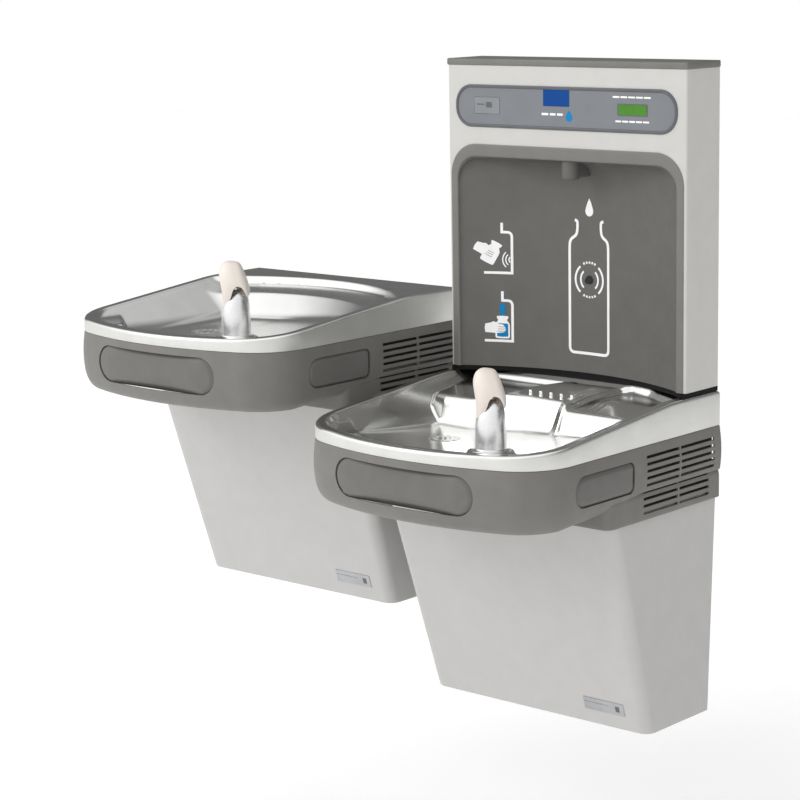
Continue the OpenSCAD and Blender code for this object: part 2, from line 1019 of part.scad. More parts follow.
module filter_head() {
    arm_y = filter_r - 3;
    color([0.20, 0.28, 0.40])
        translate([filter_at.x, filter_at.y, filter_top]) {
            difference() {
                cylinder(r = filter_r + 4, h = filter_head_h);
                translate([0, 0, -1])
                    cylinder(r = filter_neck_r + 2, h = filter_neck_h);
            }
            translate([-filter_arm.x / 2, arm_y, 4])
                cube([filter_arm.x, -filter_at.y - arm_y - 0.5, filter_arm.y]);
            for (side = [-1, 1])
                translate([side * (filter_r - 1), 0, filter_head_h / 2])
                    rotate([0, side * 90, 0])
                        cylinder(r = filter_port_r, h = filter_port_len);
        }
}

module filter_cartridge() {
    end_z = filter_top - filter_len - 2;
    color([0.90, 0.90, 0.88])
        translate([filter_at.x, filter_at.y, 0]) {
            translate([0, 0, end_z])
                cylinder(r = filter_r, h = filter_len);
            translate([0, 0, end_z - filter_end_h])
                cylinder(r1 = filter_end_r, r2 = filter_r, h = filter_end_h + eps);
            translate([0, 0, filter_top - 3])
                cylinder(r = filter_neck_r, h = filter_neck_h);
        }
}

// ---------- bottle filler, over the low unit ----------

// Front outline of the alcove: straight sides and round top corners
module alcove_outline(side_in, top_in) {
    w = alcove_w - 2 * side_in;
    top = alcove_top - top_in;
    r = alcove_corner - side_in;
    for (side = [-1, 1])
        translate([side * (w / 2 - r), top - r])
            circle(r = r);
    translate([-w / 2 + r, filler_z])
        square([w - 2 * r, top - filler_z]);
    translate([-w / 2, filler_z])
        square([w, top - r - filler_z]);
}

module filler_case() {
    w = filler_w / 2;
    color([0.83, 0.83, 0.81])
        difference() {
            translate([-w, -filler_d, filler_z])
                cube([filler_w, filler_d, filler_top - filler_z]);
            translate([-w + case_t, -filler_d + case_t, filler_z - 1])
                cube([filler_w - 2 * case_t, filler_d + 1, filler_top - filler_z - 1]);
            along_y(-filler_d - 5, -filler_d + 5)
                translate([0, -2])
                    alcove_outline(2.5, 0.5);
            along_y(-filler_d - 5, -filler_d + 5)
                translate([0, plate_z])
                    slot_outline(plate_w - 6, plate_h - 6);
        }
}

module filler_cap() {
    w = filler_w / 2 + 1.5;
    color([0.52, 0.51, 0.49])
        translate([-w, -filler_d - 1.5, filler_top + 0.1])
            cube([2 * w, filler_d + 1.5, cap_t]);
}

// Moulded liner: a bevelled bezel round the mouth and a curved back wall
module filler_alcove() {
    wall = 3;
    color([0.40, 0.39, 0.38])
        difference() {
            union() {
                intersection() {
                    along_y(-filler_d - bezel_proud, -1)
                        alcove_outline(4, 4);
                    translate([0, alcove_mid_y, 0])
                        cylinder(r = alcove_r + wall, h = 2 * filler_top, $fn = 200);
                }
                along_y(-filler_d - bezel_proud, -filler_d - 0.1)
                    alcove_outline(0, 0);
            }
            intersection() {
                along_y(-filler_d - 20, 0)
                    translate([0, -5])
                        alcove_outline(bezel_side, bezel_top - 5);
                translate([0, alcove_mid_y, 0])
                    cylinder(r = alcove_r, h = 2 * filler_top, $fn = 200);
            }
            translate([0, 0, sensor_z])
                rotate([90, 0, 0])
                    cylinder(r = 5, h = 80);
            translate([0, nozzle_y, alcove_top - 40])
                cylinder(r = 5, h = 60);
        }
}

module filler_nameplate() {
    color([0.45, 0.46, 0.47])
        difference() {
            along_y(-filler_d - 2, -filler_d - 0.1)
                translate([0, plate_z])
                    slot_outline(plate_w, plate_h);
            along_y(-filler_d - 5, -filler_d + 5)
                translate([0, plate_z])
                    slot_outline(plate_w - 2 * plate_rim, plate_h - 2 * plate_rim);
        }
}

module filler_face() {
    color([0.55, 0.57, 0.60])
        difference() {
            along_y(-filler_d - 1, -filler_d + 2.5)
                translate([0, plate_z])
                    slot_outline(plate_w - 2 * plate_rim - 0.6, plate_h - 2 * plate_rim - 0.6);
            along_y(-filler_d - 5, -filler_d + 5)
                translate([display_at.x, display_at.y])
                    square([display_w + 0.6, display_h + 0.6], center = true);
        }
}

module filler_display() {
    color([0.35, 0.60, 0.20])
        along_y(-filler_d - 0.6, -filler_d + 4)
            translate([display_at.x, display_at.y])
                square([display_w, display_h], center = true);
}

module filler_board() {
    color([0.10, 0.35, 0.18]) {
        along_y(-filler_d + board_gap, -filler_d + board_gap + board_t)
            translate([board_x, plate_z - board_size.y / 2])
                square(board_size);
        for (x = chip_x)
            along_y(-filler_d + board_gap + board_t - 0.1, -filler_d + board_gap + board_t + chip_h)
                translate([x, plate_z - chip_size.y / 2])
                    square(chip_size);
    }
}

module filler_nozzle() {
    back_y = -alcove_back - 0.5;
    ceiling_z = alcove_top - bezel_top - fit;
    color([0.42, 0.41, 0.40])
        translate([0, nozzle_y, 0])
            difference() {
                union() {
                    translate([0, 0, nozzle_z])
                        cylinder(r = nozzle_r, h = ceiling_z - nozzle_z);
                    translate([-nozzle_body[0] / 2, 0, nozzle_z + nozzle_body[1]])
                        cube([nozzle_body[0], back_y - nozzle_y, ceiling_z - nozzle_z - nozzle_body[1]]);
                }
                translate([0, 0, nozzle_z - 5])
                    cylinder(r = nozzle_bore_r, h = 20);
            }
}

module filler_sensor() {
    color([0.05, 0.05, 0.06]) {
        along_y(-alcove_back - 1, -alcove_back + 12)
            translate([0, sensor_z])
                circle(r = 4.6);
        along_y(-alcove_back + 4, -alcove_back + 22)
            translate([-20, sensor_z - 20])
                square([40, 40]);
    }
}

module filler_gasket() {
    color([0.05, 0.05, 0.05])
        difference() {
            translate([-filler_w / 2, -filler_d, deck_z])
                cube([filler_w, filler_d - 1, filler_z - deck_z]);
            translate([0, alcove_mid_y, 0])
                cylinder(r = alcove_r, h = 2 * filler_top, $fn = 200);
            translate([-filler_w / 2 + gasket_cut[0], -gasket_cut[1], deck_z - 1])
                cube([filler_w - 2 * gasket_cut[0], gasket_cut[1] + 8, 20]);
        }
}

module filler_bracket() {
    color([0.62, 0.63, 0.64])
        difference() {
            translate([-filler_plate_w / 2 - 20, -filler_plate_t, filler_plate_z - filler_plate_h / 2])
                cube([filler_plate_w + 40, filler_plate_t, filler_plate_h]);
            for (x = [-1, 1])
                translate([x * filler_plate_w / 2, -20, filler_plate_z])
                    rotate([-90, 0, 0])
                        cylinder(r = filler_hole_r, h = 40);
        }
}

module filler_valve() {
    color([0.20, 0.22, 0.60])
        translate(filler_valve_at) {
            cylinder(r = filler_valve_r, h = filler_valve_h);
            translate([-filler_coil.x / 2, -filler_coil.y / 2, 14])
                cube(filler_coil);
        }
}

module filler_tube() {
    start = filler_valve_at;
    color([0.88, 0.88, 0.86])
        pipe([
            [start.x, start.y, start.z + filler_valve_h + fit], [start.x, start.y, filler_line_z],
            [0, start.y, filler_line_z], [0, nozzle_y, filler_line_z],
            [0, nozzle_y, alcove_top - bezel_top + 8]
        ], filler_line_r);
}

// ---------- placing ----------

module low() {
    translate(low_at)
        children();
}

module high() {
    translate(high_at)
        children();
}

low() low_basin();
low() apron();  // low_apron
low() front_pad();  // low_front_pad
low() side_pad(-1);  // low_left_pad
low() side_pad(1);  // low_right_pad
low() panel();  // low_panel
low() badge();  // low_badge
low() bubbler();  // low_bubbler
low() mouth_guard();  // low_mouth_guard
low() bubbler_nozzle();  // low_bubbler_nozzle
low() strainer();  // low_strainer
low() drain_trap();  // low_drain_trap
low() frame();  // low_frame
low() hanger();  // low_hanger
low() regulator();  // low_regulator
low() supply_tube();  // low_supply_tube
high() high_basin();
high() apron();  // high_apron
high() front_pad();  // high_front_pad
high() side_pad(-1);  // high_left_pad
high() side_pad(1);  // high_right_pad
high() panel();  // high_panel
high() badge();  // high_badge
high() bubbler();  // high_bubbler
high() mouth_guard();  // high_mouth_guard
high() bubbler_nozzle();  // high_bubbler_nozzle
high() strainer();  // high_strainer
high() drain_trap();  // high_drain_trap
high() frame();  // high_frame
high() hanger();  // high_hanger
high() regulator();  // high_regulator
high() supply_tube();  // high_supply_tube
low() compressor();
low() condenser();
low() fan_shroud();
low() fan_motor();
low() fan();
low() cooling_tank();
low() cold_line();
low() power_gland();
high() filter_head();
high() filter_cartridge();
low() filler_case();
low() filler_cap();
low() filler_alcove();
low() filler_nameplate();
low() filler_face();
low() filler_display();
low() filler_board();
low() filler_nozzle();
low() filler_sensor();
low() filler_gasket();
low() filler_bracket();
low() filler_valve();
low() filler_tube();
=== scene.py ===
import math

import bpy
import numpy as np
from mathutils import Matrix, Vector


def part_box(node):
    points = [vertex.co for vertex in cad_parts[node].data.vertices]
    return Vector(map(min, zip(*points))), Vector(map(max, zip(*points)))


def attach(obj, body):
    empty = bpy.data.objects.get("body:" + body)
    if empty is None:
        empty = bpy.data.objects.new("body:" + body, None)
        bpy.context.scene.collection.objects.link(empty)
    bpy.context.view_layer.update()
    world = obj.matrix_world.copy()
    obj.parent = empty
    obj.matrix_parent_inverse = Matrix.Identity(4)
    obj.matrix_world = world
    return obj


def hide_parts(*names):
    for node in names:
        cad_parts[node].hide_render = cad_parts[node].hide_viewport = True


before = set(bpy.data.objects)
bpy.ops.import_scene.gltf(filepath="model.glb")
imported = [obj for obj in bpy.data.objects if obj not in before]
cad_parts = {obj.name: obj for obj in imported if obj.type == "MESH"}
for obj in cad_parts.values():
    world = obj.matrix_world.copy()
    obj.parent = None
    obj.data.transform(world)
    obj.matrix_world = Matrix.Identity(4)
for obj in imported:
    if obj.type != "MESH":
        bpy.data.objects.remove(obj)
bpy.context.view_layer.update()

# All shapes below are drawn in millimetres, from each unit's own lower wall edge.
MM = 0.001
LOW = np.array([0.0, 0.0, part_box("low_panel")[0].z / MM])
HIGH_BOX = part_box("high_panel")
HIGH = np.array([(HIGH_BOX[0].x + HIGH_BOX[1].x) / 2 / MM, 0.0, HIGH_BOX[0].z / MM])
UNITS = {"low": LOW, "high": HIGH}

# Basin plan
HALF_W = 233.5
FRONT_Y = -490.0
FRONT_R = 555.0
CORNER_R = 91.0
CORNER_AT = (142.5, -376.6)
FRONT_MID_Y = FRONT_Y + FRONT_R
RIM_W = 15.0
SKIRT_Z = 463.5
RIM_FRONT_Z = 484.0
DECK_Z = 517.0
DECK_Y = -125.0
RIM_SLOPE = (DECK_Z - RIM_FRONT_Z) / 335.0
FLOOR_Z = 451.0
DRAIN_AT = (-75.0, -290.0)
BUBBLER_AT = (88.0, -380.0)
BUBBLER_Z = 470.0

# Apron
APRON_TOP = 463.2
APRON_Z = 366.0
BAND_Z = 392.0
COLLAR_Z = 349.5
COLLAR_D = 288.0
SWELL = 3.5
APRON_T = 3.0
SLOT_PITCH = 10.6
SLOT_H = 4.6
SLOT_FIRST_Z = 445.7
SLOT_RIB_Y = (-111.0, -107.0)

# Filler
CASE_HALF = 230.0
CASE_Y = -87.0
CASE_R = 3.0
CASE_Z = 524.4
CASE_TOP = 1010.0
ALCOVE_R = 423.0
ALCOVE_MID_Y = -449.0
BEZEL_HALF = 225.0
BEZEL_TOP = 886.0
BEZEL_R = 50.0
MOUTH_HALF = 212.0
MOUTH_TOP = 866.0
MOUTH_R = 37.0
COVE_R = 46.0
PLATE_Z = 946.5
SENSOR_Z = 672.0


# ---------- colour and materials ----------

def linear(hex_tone):
    """An sRGB hex tone as the linear colour that shaders take."""
    parts = [int(hex_tone[i:i + 2], 16) / 255 for i in (1, 3, 5)]
    return [p / 12.92 if p <= 0.04045 else ((p + 0.055) / 1.055) ** 2.4 for p in parts] + [1.0]


def add(tree, kind, inputs=None, **settings):
    """Adds a shader node; an input is a value or another node's output."""
    made = tree.nodes.new(kind)
    for name, value in settings.items():
        setattr(made, name, value)
    for name, value in (inputs or {}).items():
        if isinstance(value, bpy.types.NodeSocket):
            tree.links.new(value, made.inputs[name])
        else:
            made.inputs[name].default_value = value
    return made


def blank(name, **shader):
    """A new material with one Principled shader; settings go on the shader's own sockets."""
    skin = bpy.data.materials.new(name)
    skin.use_nodes = True
    tree = skin.node_tree
    tree.nodes.clear()
    body = add(tree, "ShaderNodeBsdfPrincipled", {k.replace("_", " "): v for k, v in shader.items()})
    add(tree, "ShaderNodeOutputMaterial", {"Surface": body.outputs[0]})
    return skin, tree, body


def grain(tree, size, stretch=(1, 1, 1), detail=4.0):
    """Noise whose blotches are size millimetres across, stretched along an axis."""
    place = add(tree, "ShaderNodeTexCoord")
    turn = add(tree, "ShaderNodeMapping", {"Vector": place.outputs["Object"], "Scale": stretch})
    return add(tree, "ShaderNodeTexNoise", {
        "Vector": turn.outputs[0], "Scale": 1 / (size * MM), "Detail": detail, "Roughness": 0.55,
    }).outputs["Fac"]


def between(tree, factor, low, high):
    """A ramp from one colour or value to another, over the middle of the noise's range."""
    ramp = add(tree, "ShaderNodeValToRGB", {"Fac": factor})
    ramp.color_ramp.elements[0].position = 0.3
    ramp.color_ramp.elements[1].position = 0.7
    ramp.color_ramp.elements[0].color = low
    ramp.color_ramp.elements[1].color = high
    return ramp.outputs["Color"]


def grey(value):
    """A linear grey, or a plain value carried as one."""
    return [value, value, value, 1.0]


def moulded(name, tone, worn, roughness, grain_mm=0.7, bump_mm=0.05, ior=1.46):
    """A moulded or painted skin: soft mottling, a fine surface grain and uneven gloss."""
    skin, tree, body = blank(name, IOR=ior)
    mottle = grain(tree, 38, detail=5)
    tree.links.new(between(tree, mottle, linear(worn), linear(tone)), body.inputs["Base Color"])
    gloss = grain(tree, 14, detail=3)
    tree.links.new(
        between(tree, gloss, grey(roughness - 0.05), grey(roughness + 0.06)), body.inputs["Roughness"])
    fine = grain(tree, grain_mm, detail=2)
    relief = add(tree, "ShaderNodeBump", {"Height": fine, "Distance": bump_mm * MM, "Strength": 0.5})
    tree.links.new(relief.outputs[0], body.inputs["Normal"])
    return skin


def steel(name, tone, dull, roughness, brush=(1, 1, 1), brush_mm=0.9, bump_mm=0.02, streak=0.05):
    """Bare metal: brushed one way, with faint cloudy rubbing from wiping."""
    skin, tree, body = blank(name, Metallic=1.0)
    cloud = grain(tree, 45, detail=4)
    tree.links.new(between(tree, cloud, linear(dull), linear(tone)), body.inputs["Base Color"])
    lines = grain(tree, brush_mm, stretch=brush, detail=3)
    tree.links.new(
        between(tree, lines, grey(roughness - streak), grey(roughness + streak)), body.inputs["Roughness"])
    relief = add(tree, "ShaderNodeBump", {"Height": lines, "Distance": bump_mm * MM, "Strength": 0.4})
    tree.links.new(relief.outputs[0], body.inputs["Normal"])
    return skin


# Satin stainless steel of the pressed basins
BASIN_STEEL = steel("basin_stainless", "#F6F6F4", "#EFEFED", 0.17, brush=(0.12, 1, 1))
# The same steel, brushed to an even sheen on the skirt
SKIRT_STEEL = steel("skirt_stainless", "#DCDCD9", "#D5D5D2", 0.5, brush=(0.1, 0.1, 1), brush_mm=1.2)
# Chrome plate on brass, rubbed to a soft shine, for the bubbler and its nozzle
CHROME = steel("polished_chrome", "#EDEDEE", "#E6E6E8", 0.27, streak=0.03, bump_mm=0.004)
# Punched stainless strainer, a little paler than the basin round it
STRAINER_STEEL = steel("strainer_stainless", "#F4F4F2", "#E9E9E8", 0.3)
# Etched metal plates on the cabinets
ETCHED_METAL = steel("etched_aluminium", "#B9BABC", "#A4A5A8", 0.36, brush=(1, 0.1, 1))
# Galvanised sheet steel of the wall frame and brackets
GALVANISED = steel("galvanised_steel", "#B4B8BA", "#8E9396", 0.42, brush_mm=6, streak=0.1)
# Machined brass water valve
BRASS = steel("valve_brass", "#C8A45A", "#A88743", 0.3)
# Drawn copper tube
COPPER = steel("copper_tube", "#C4764A", "#9A5634", 0.28)
# Condenser fins and fan blades
ALUMINIUM = steel("fin_aluminium", "#C3C6C9", "#A2A6AA", 0.35, brush=(1, 1, 0.1))
# Grey moulded polymer of the aprons
APRON = moulded("apron_polymer", "#767470", "#706E6A", 0.5)
# The same polymer, slightly warmer, for the push pads
PAD = moulded("push_pad_polymer", "#6B6966", "#656360", 0.5)
# Light grey paint on sheet steel, for the cabinets and, a little paler, the filler case
PAINT = moulded("light_grey_paint", "#BBBAB8", "#B7B6B4", 0.48, grain_mm=1.1, bump_mm=0.03)
CASE_PAINT = moulded("case_paint", "#C7C6C2", "#C3C2BE", 0.46, grain_mm=1.1, bump_mm=0.03)
# Soft elastomer mouth guard, warm off-white
GUARD = moulded("guard_elastomer", "#EBE3DA", "#E5DCD3", 0.5, grain_mm=0.5)
# Dark grey moulded ABS of the alcove liner, and the paler bezel round it
ALCOVE = moulded("alcove_abs", "#646360", "#5F5E5B", 0.55)
BEZEL = moulded("bezel_abs", "#767470", "#716F6B", 0.45)
# Grey ABS top cap
CAP = moulded("cap_abs", "#757470", "#6F6E69", 0.5)
# Nameplate: moulded rim round a printed face; the rim's dark grey is painted shade for the edges of the
# recessed face
PLATE_RIM_SHADE = moulded("nameplate_rim_painted_shade", "#5C5E61", "#55575A", 0.4)
PLATE_FACE = moulded("nameplate_face_film", "#787C81", "#74787D", 0.42, bump_mm=0.01)
# Matt inks printed on the alcove wall and the nameplate, and a smoked film, whose dark grey also serves as
# painted shade round the display window
WHITE_INK = moulded("white_ink", "#FAFAFA", "#F4F4F4", 0.6, bump_mm=0.005)
BLUE_INK = moulded("blue_ink", "#00458F", "#004088", 0.5, bump_mm=0.005, ior=1.25)
WATER_INK = moulded("water_blue_ink", "#1583BE", "#127AB2", 0.5, bump_mm=0.005, ior=1.25)
SMOKED_FILM_AND_INSET_SHADE = moulded("smoked_label_and_inset_shade", "#5F6064", "#57585C", 0.35, bump_mm=0.005)
# Pale printed foil of the small label
LABEL = moulded("label_foil", "#85888B", "#7F8285", 0.4, bump_mm=0.01)
# Lit green display window
DISPLAY = moulded("display_window", "#4F8C2C", "#447E26", 0.3, bump_mm=0.005, ior=1.3)
# Black rubber gasket, sensor lens and cable gland; the same black is also painted shade in the overflow slots
# and in the drain under the strainer
BLACK_RUBBER_AND_HOLE_SHADE = moulded("black_rubber_and_hole_shade", "#0E0D0D", "#0A0A0A", 0.7, ior=1.3)
LENS = moulded("sensor_lens", "#101114", "#0B0C0E", 0.12, bump_mm=0.002)
# Black plastic waste pipe
PIPE = moulded("pipe_pvc", "#3C3C3E", "#333335", 0.45)
# Dark grey board inside the louvres: painted shade for the dark interior seen through them
LOUVRE_SHADE_BOARD = moulded("louvre_painted_shade", "#3A3937", "#302F2E", 0.9, grain_mm=2.0, bump_mm=0.3)
# White polyethylene tube
TUBE = moulded("tube_polyethylene", "#DAD9D4", "#CFCEC8", 0.4)
# Baked black paint on the compressor shell
BLACK_PAINT = moulded("compressor_paint", "#202022", "#18181A", 0.35)
# Foamed insulation shell of the cooling tank
FOAM = moulded("tank_foam", "#DCD6B8", "#CBC4A2", 0.75, grain_mm=2.5, bump_mm=0.4)
# Blue filter head and white filter shell
FILTER_HEAD = moulded("filter_head_nylon", "#3A4E6E", "#324562", 0.45)
FILTER_SHELL = moulded("filter_shell", "#E2E2DE", "#D8D8D3", 0.4)
# Green circuit board
BOARD = moulded("circuit_board", "#1F5B35", "#174A2A", 0.4, grain_mm=3, bump_mm=0.1)
# Valve coil housing
COIL = moulded("valve_nylon", "#39407E", "#30366E", 0.45)


# ---------- shapes ----------

def deselect():
    """Back to object mode with nothing selected."""
    if bpy.context.mode != "OBJECT":
        bpy.ops.object.mode_set(mode="OBJECT")
    bpy.ops.object.select_all(action="DESELECT")


def points_of(skin):
    """The piece's points, in metres, as rows of x, y, z."""
    spots = np.empty(len(skin.data.vertices) * 3)
    skin.data.vertices.foreach_get("co", spots)
    return spots.reshape(-1, 3)


def of_faces(skin, field, width=3):
    """One of the faces' values, such as their middles, as rows."""
    values = np.empty(len(skin.data.polygons) * width)
    skin.data.polygons.foreach_get(field, values)
    return values.reshape(-1, width)


def place_points(skin, spots):
    """Moves the piece's points to new places, in metres."""
    skin.data.vertices.foreach_set("co", np.ascontiguousarray(spots, dtype=float).ravel())
    skin.data.update()


def apply(skin, kind, **settings):
    """Adds a modifier and applies it."""
    made = skin.modifiers.new(kind.lower(), kind)
    for name, value in settings.items():
        setattr(made, name, value)
    deselect()
    skin.select_set(True)
    bpy.context.view_layer.objects.active = skin
    bpy.ops.object.modifier_apply(modifier=made.name)


def edit(skin, *steps, where=None, kind="FACE"):
    """Runs edit-mode operators on the faces that where picks, or on all of them."""
    deselect()
    skin.select_set(True)
    bpy.context.view_layer.objects.active = skin
    bpy.ops.object.mode_set(mode="EDIT")
    bpy.ops.mesh.select_mode(type=kind)
    bpy.ops.mesh.select_all(action="SELECT" if where is None else "DESELECT")
    bpy.ops.object.mode_set(mode="OBJECT")
    if where is not None:
        group = skin.data.polygons if kind == "FACE" else skin.data.edges
        group.foreach_set("select", where(skin))
    bpy.ops.object.mode_set(mode="EDIT")
    for step in steps:
        step()
    bpy.ops.object.mode_set(mode="OBJECT")


def merge():
    """Joins points that lie on each other, as at a seam or a pole."""
    bpy.ops.mesh.remove_doubles(threshold=0.02 * MM)


def outwards():
    """Turns all faces to point outwards."""
    bpy.ops.mesh.normals_make_consistent(inside=False)


def sheet(columns, rows, place, at, inner=None, wall=0.0):
    """A skin of columns by rows faces; place gives the points at columns i and rows j, in the unit's
    millimetres. Its faces point away from the inner point, and it is given a wall on that side."""
    deselect()
    bpy.ops.mesh.primitive_grid_add(x_subdivisions=columns, y_subdivisions=rows, size=1)
    skin = bpy.context.active_object
    spots = points_of(skin)
    i = np.rint((spots[:, 0] + 0.5) * columns).astype(int)
    j = np.rint((spots[:, 1] + 0.5) * rows).astype(int)
    place_points(skin, (np.stack(place(i, j), axis=1) + at) * MM)
    edit(skin, merge, outwards)
    if inner is not None:
        away = of_faces(skin, "center") - (np.asarray(inner) + at) * MM
        facing = (away * of_faces(skin, "normal")).sum(1) * of_faces(skin, "area", 1)[:, 0]
        if facing.sum() < 0:
            edit(skin, bpy.ops.mesh.flip_normals)
    if wall:
        apply(skin, "SOLIDIFY", thickness=wall * MM, offset=-1.0, use_even_offset=wall > 0.5)
    return skin


def block(low, high, at, bevel=0.0, segments=3):
    """A block between two corners, with its edges rounded."""
    low, high = np.asarray(low, float) + at, np.asarray(high, float) + at
    deselect()
    bpy.ops.mesh.primitive_cube_add(size=1, location=((low + high) / 2 * MM))
    skin = bpy.context.active_object
    skin.scale = (high - low) * MM
    bpy.ops.object.transform_apply(location=True, rotation=True, scale=True)
    if bevel:
        edit(skin, lambda: bpy.ops.mesh.bevel(offset=bevel * MM, segments=segments, affect="EDGES"),
             where=lambda s: [True] * len(s.data.edges), kind="EDGE")
    return skin


def prism(outline, y0, y1, at):
    """A solid with an outline in X and Z, run from y0 to y1."""
    deselect()
    bpy.ops.mesh.primitive_circle_add(vertices=len(outline), radius=1, fill_type="NGON")
    skin = bpy.context.active_object
    outline = np.asarray(outline, float)
    spots = np.column_stack([outline[:, 0], np.full(len(outline), y0), outline[:, 1]])
    place_points(skin, (spots + at) * MM)
    edit(skin, lambda: bpy.ops.mesh.extrude_region_move(
        TRANSFORM_OT_translate={"value": (0, (y1 - y0) * MM, 0)}))
    edit(skin, outwards)
    return skin


def turned(profile, foot, at, around=72):
    """A round piece: a disc extruded upwards and resized step by step, by (radius, height)."""
    middle = np.asarray(foot, float) + at
    deselect()
    (first_r, first_z) = profile[0]
    bpy.ops.mesh.primitive_circle_add(
        vertices=around, radius=first_r * MM, fill_type="NGON",
        location=(middle + [0, 0, first_z]) * MM)
    skin = bpy.context.active_object
    bpy.ops.object.transform_apply(location=True, rotation=True, scale=True)

    def rise():
        for (r0, z0), (r1, z1) in zip(profile, profile[1:]):
            bpy.ops.mesh.extrude_region_move(TRANSFORM_OT_translate={"value": (0, 0, (z1 - z0) * MM)})
            bpy.ops.transform.resize(
                value=(r1 / r0, r1 / r0, 1), center_override=(middle + [0, 0, z1]) * MM)
    edit(skin, rise)
    edit(skin, outwards)
    return skin


def finished(skin, name, body, material, smooth=35, replaces=()):
    """Names a piece, gives it its finish, and says what it rides on and stands for."""
    skin.name = name
    skin.data.name = name
    skin.data.materials.clear()
    skin.data.materials.append(material)
    deselect()
    skin.select_set(True)
    bpy.context.view_layer.objects.active = skin
    bpy.ops.object.shade_smooth_by_angle(angle=math.radians(smooth))
    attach(skin, body)
    if replaces:
        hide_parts(*replaces)
    return skin


def joined(pieces):
    """Several solids as one piece."""
    deselect()
    for one in pieces:
        one.select_set(True)
    bpy.context.view_layer.objects.active = pieces[0]
    if len(pieces) > 1:
        bpy.ops.object.join()
    return pieces[0]


def cut(skin, tool):
    """Takes the tool's shape out of a piece."""
    apply(skin, "BOOLEAN", operation="DIFFERENCE", solver="EXACT", object=tool)
    bpy.data.objects.remove(tool)


def curve_through(knots, count):
    """A smooth curve through the knots, as count points."""
    knots = np.asarray(knots, float)
    padded = np.vstack([2 * knots[0] - knots[1], knots, 2 * knots[-1] - knots[-2]])
    t = np.linspace(0, len(knots) - 1 - 1e-9, count)
    i = t.astype(int)
    f = (t - i)[:, None]
    a, b, c, d = padded[i], padded[i + 1], padded[i + 2], padded[i + 3]
    return 0.5 * (2 * b + (c - a) * f + (2 * a - 5 * b + 4 * c - d) * f ** 2
                  + (3 * b - a - 3 * c + d) * f ** 3)


def rotated(a, b, angle):
    """Two coordinates after a turn by an angle."""
    c, s = math.cos(angle), math.sin(angle)
    return a * c - b * s, a * s + b * c


def smooth_step(x, start, end):
    """0 before start, 1 after end, and a smooth rise between them."""
    t = np.clip((x - start) / (end - start), 0, 1)
    return t * t * (3 - 2 * t)


def blend_max(a, b, fillet):
    """The higher of two heights, with a fillet where they meet."""
    h = np.clip(0.5 + 0.5 * (a - b) / fillet, 0, 1)
    return b + (a - b) * h + fillet * h * (1 - h)


def soft_profile(x, knots, blur):
    """A height read off a chain of knots whose corners are rounded by blur."""
    knots = np.asarray(knots, float)
    steps = np.linspace(-1, 1, 9) * blur
    weight = np.exp(-2 * (steps / blur) ** 2)
    values = [np.interp(x + s, knots[:, 0], knots[:, 1]) for s in steps]
    return np.tensordot(weight / weight.sum(), np.array(values), 1)


def ring_points(x, z, r, count=40, start=0.0, end=2 * math.pi):
    """Points round an arc, as rows of two."""
    a = np.linspace(start, end, count)
    return np.column_stack([x + r * np.cos(a), z + r * np.sin(a)])


def bend(x, y, r, start, end, steps):
    """Points round an arc, each with its outward normal."""
    return [(x + r * math.cos(a), y + r * math.sin(a), math.cos(a), math.sin(a))
            for a in np.linspace(start, end, steps + 1)]


# ---------- plan of a unit ----------

def plan_path(side_steps, corner_steps, front_steps, rear_steps=0, side_marks=()):
    """Points round the unit's plan with their outward normals: up one side, round the bowed
    front and back along the other side, then along the wall where rear_steps is given."""
    side_y = np.unique(np.concatenate([np.linspace(0, CORNER_AT[1], side_steps + 1), side_marks]))[::-1]
    lean = math.atan2(FRONT_MID_Y - CORNER_AT[1], CORNER_AT[0])
    points = [(-HALF_W, y, -1.0, 0.0) for y in side_y]
    points += bend(-CORNER_AT[0], CORNER_AT[1], CORNER_R, math.pi, math.pi + lean, corner_steps)[1:]
    points += bend(0.0, FRONT_MID_Y, FRONT_R, math.pi + lean, 2 * math.pi - lean, front_steps)[1:]
    points += bend(CORNER_AT[0], CORNER_AT[1], CORNER_R, 2 * math.pi - lean, 2 * math.pi, corner_steps)[1:]
    points += [(HALF_W, y, 1.0, 0.0) for y in side_y[::-1][1:]]
    if rear_steps:
        # Where the plan is closed, an inset draws the side points forwards and the rear points inwards
        points = [(x, y, nx, ny + max(0.0, 1 - y / CORNER_AT[1]) * (abs(nx) == 1))
                  for x, y, nx, ny in points]
        for x in np.linspace(HALF_W, -HALF_W, rear_steps + 1)[1:-1]:
            points.append((x, 0.0, x / HALF_W, 1.0))
        points.append(points[0])
    return np.array(points)


def inset_by(point, inset):
    """X and Y of plan points moved inwards along their normals."""
    return point[:, 0] - inset * point[:, 2], point[:, 1] - inset * point[:, 3]


def rim_height(y):
    """Height of the rim: level over the rear deck, then falling to the front."""
    ahead = DECK_Y - y
    fall = np.where(ahead < -20, 0.0, np.where(ahead > 20, ahead, (ahead + 20) ** 2 / 80))
    return DECK_Z - RIM_SLOPE * fall


def rim_distance(x, y):
    """How far a point lies inside the sides and the bowed front of the plan."""
    across, ahead = np.abs(x) - CORNER_AT[0], y - CORNER_AT[1]
    lean = math.atan2(FRONT_MID_Y - CORNER_AT[1], CORNER_AT[0])
    side = HALF_W - np.abs(x)
    front = FRONT_R - np.hypot(x, y - FRONT_MID_Y)
    corner = CORNER_R - np.hypot(across, ahead)
    in_corner = (ahead < 0) & (across * math.sin(lean) + ahead * math.cos(lean) > 0)
    return np.where(in_corner, corner, np.where(ahead < 0, front, np.minimum(side, front)))


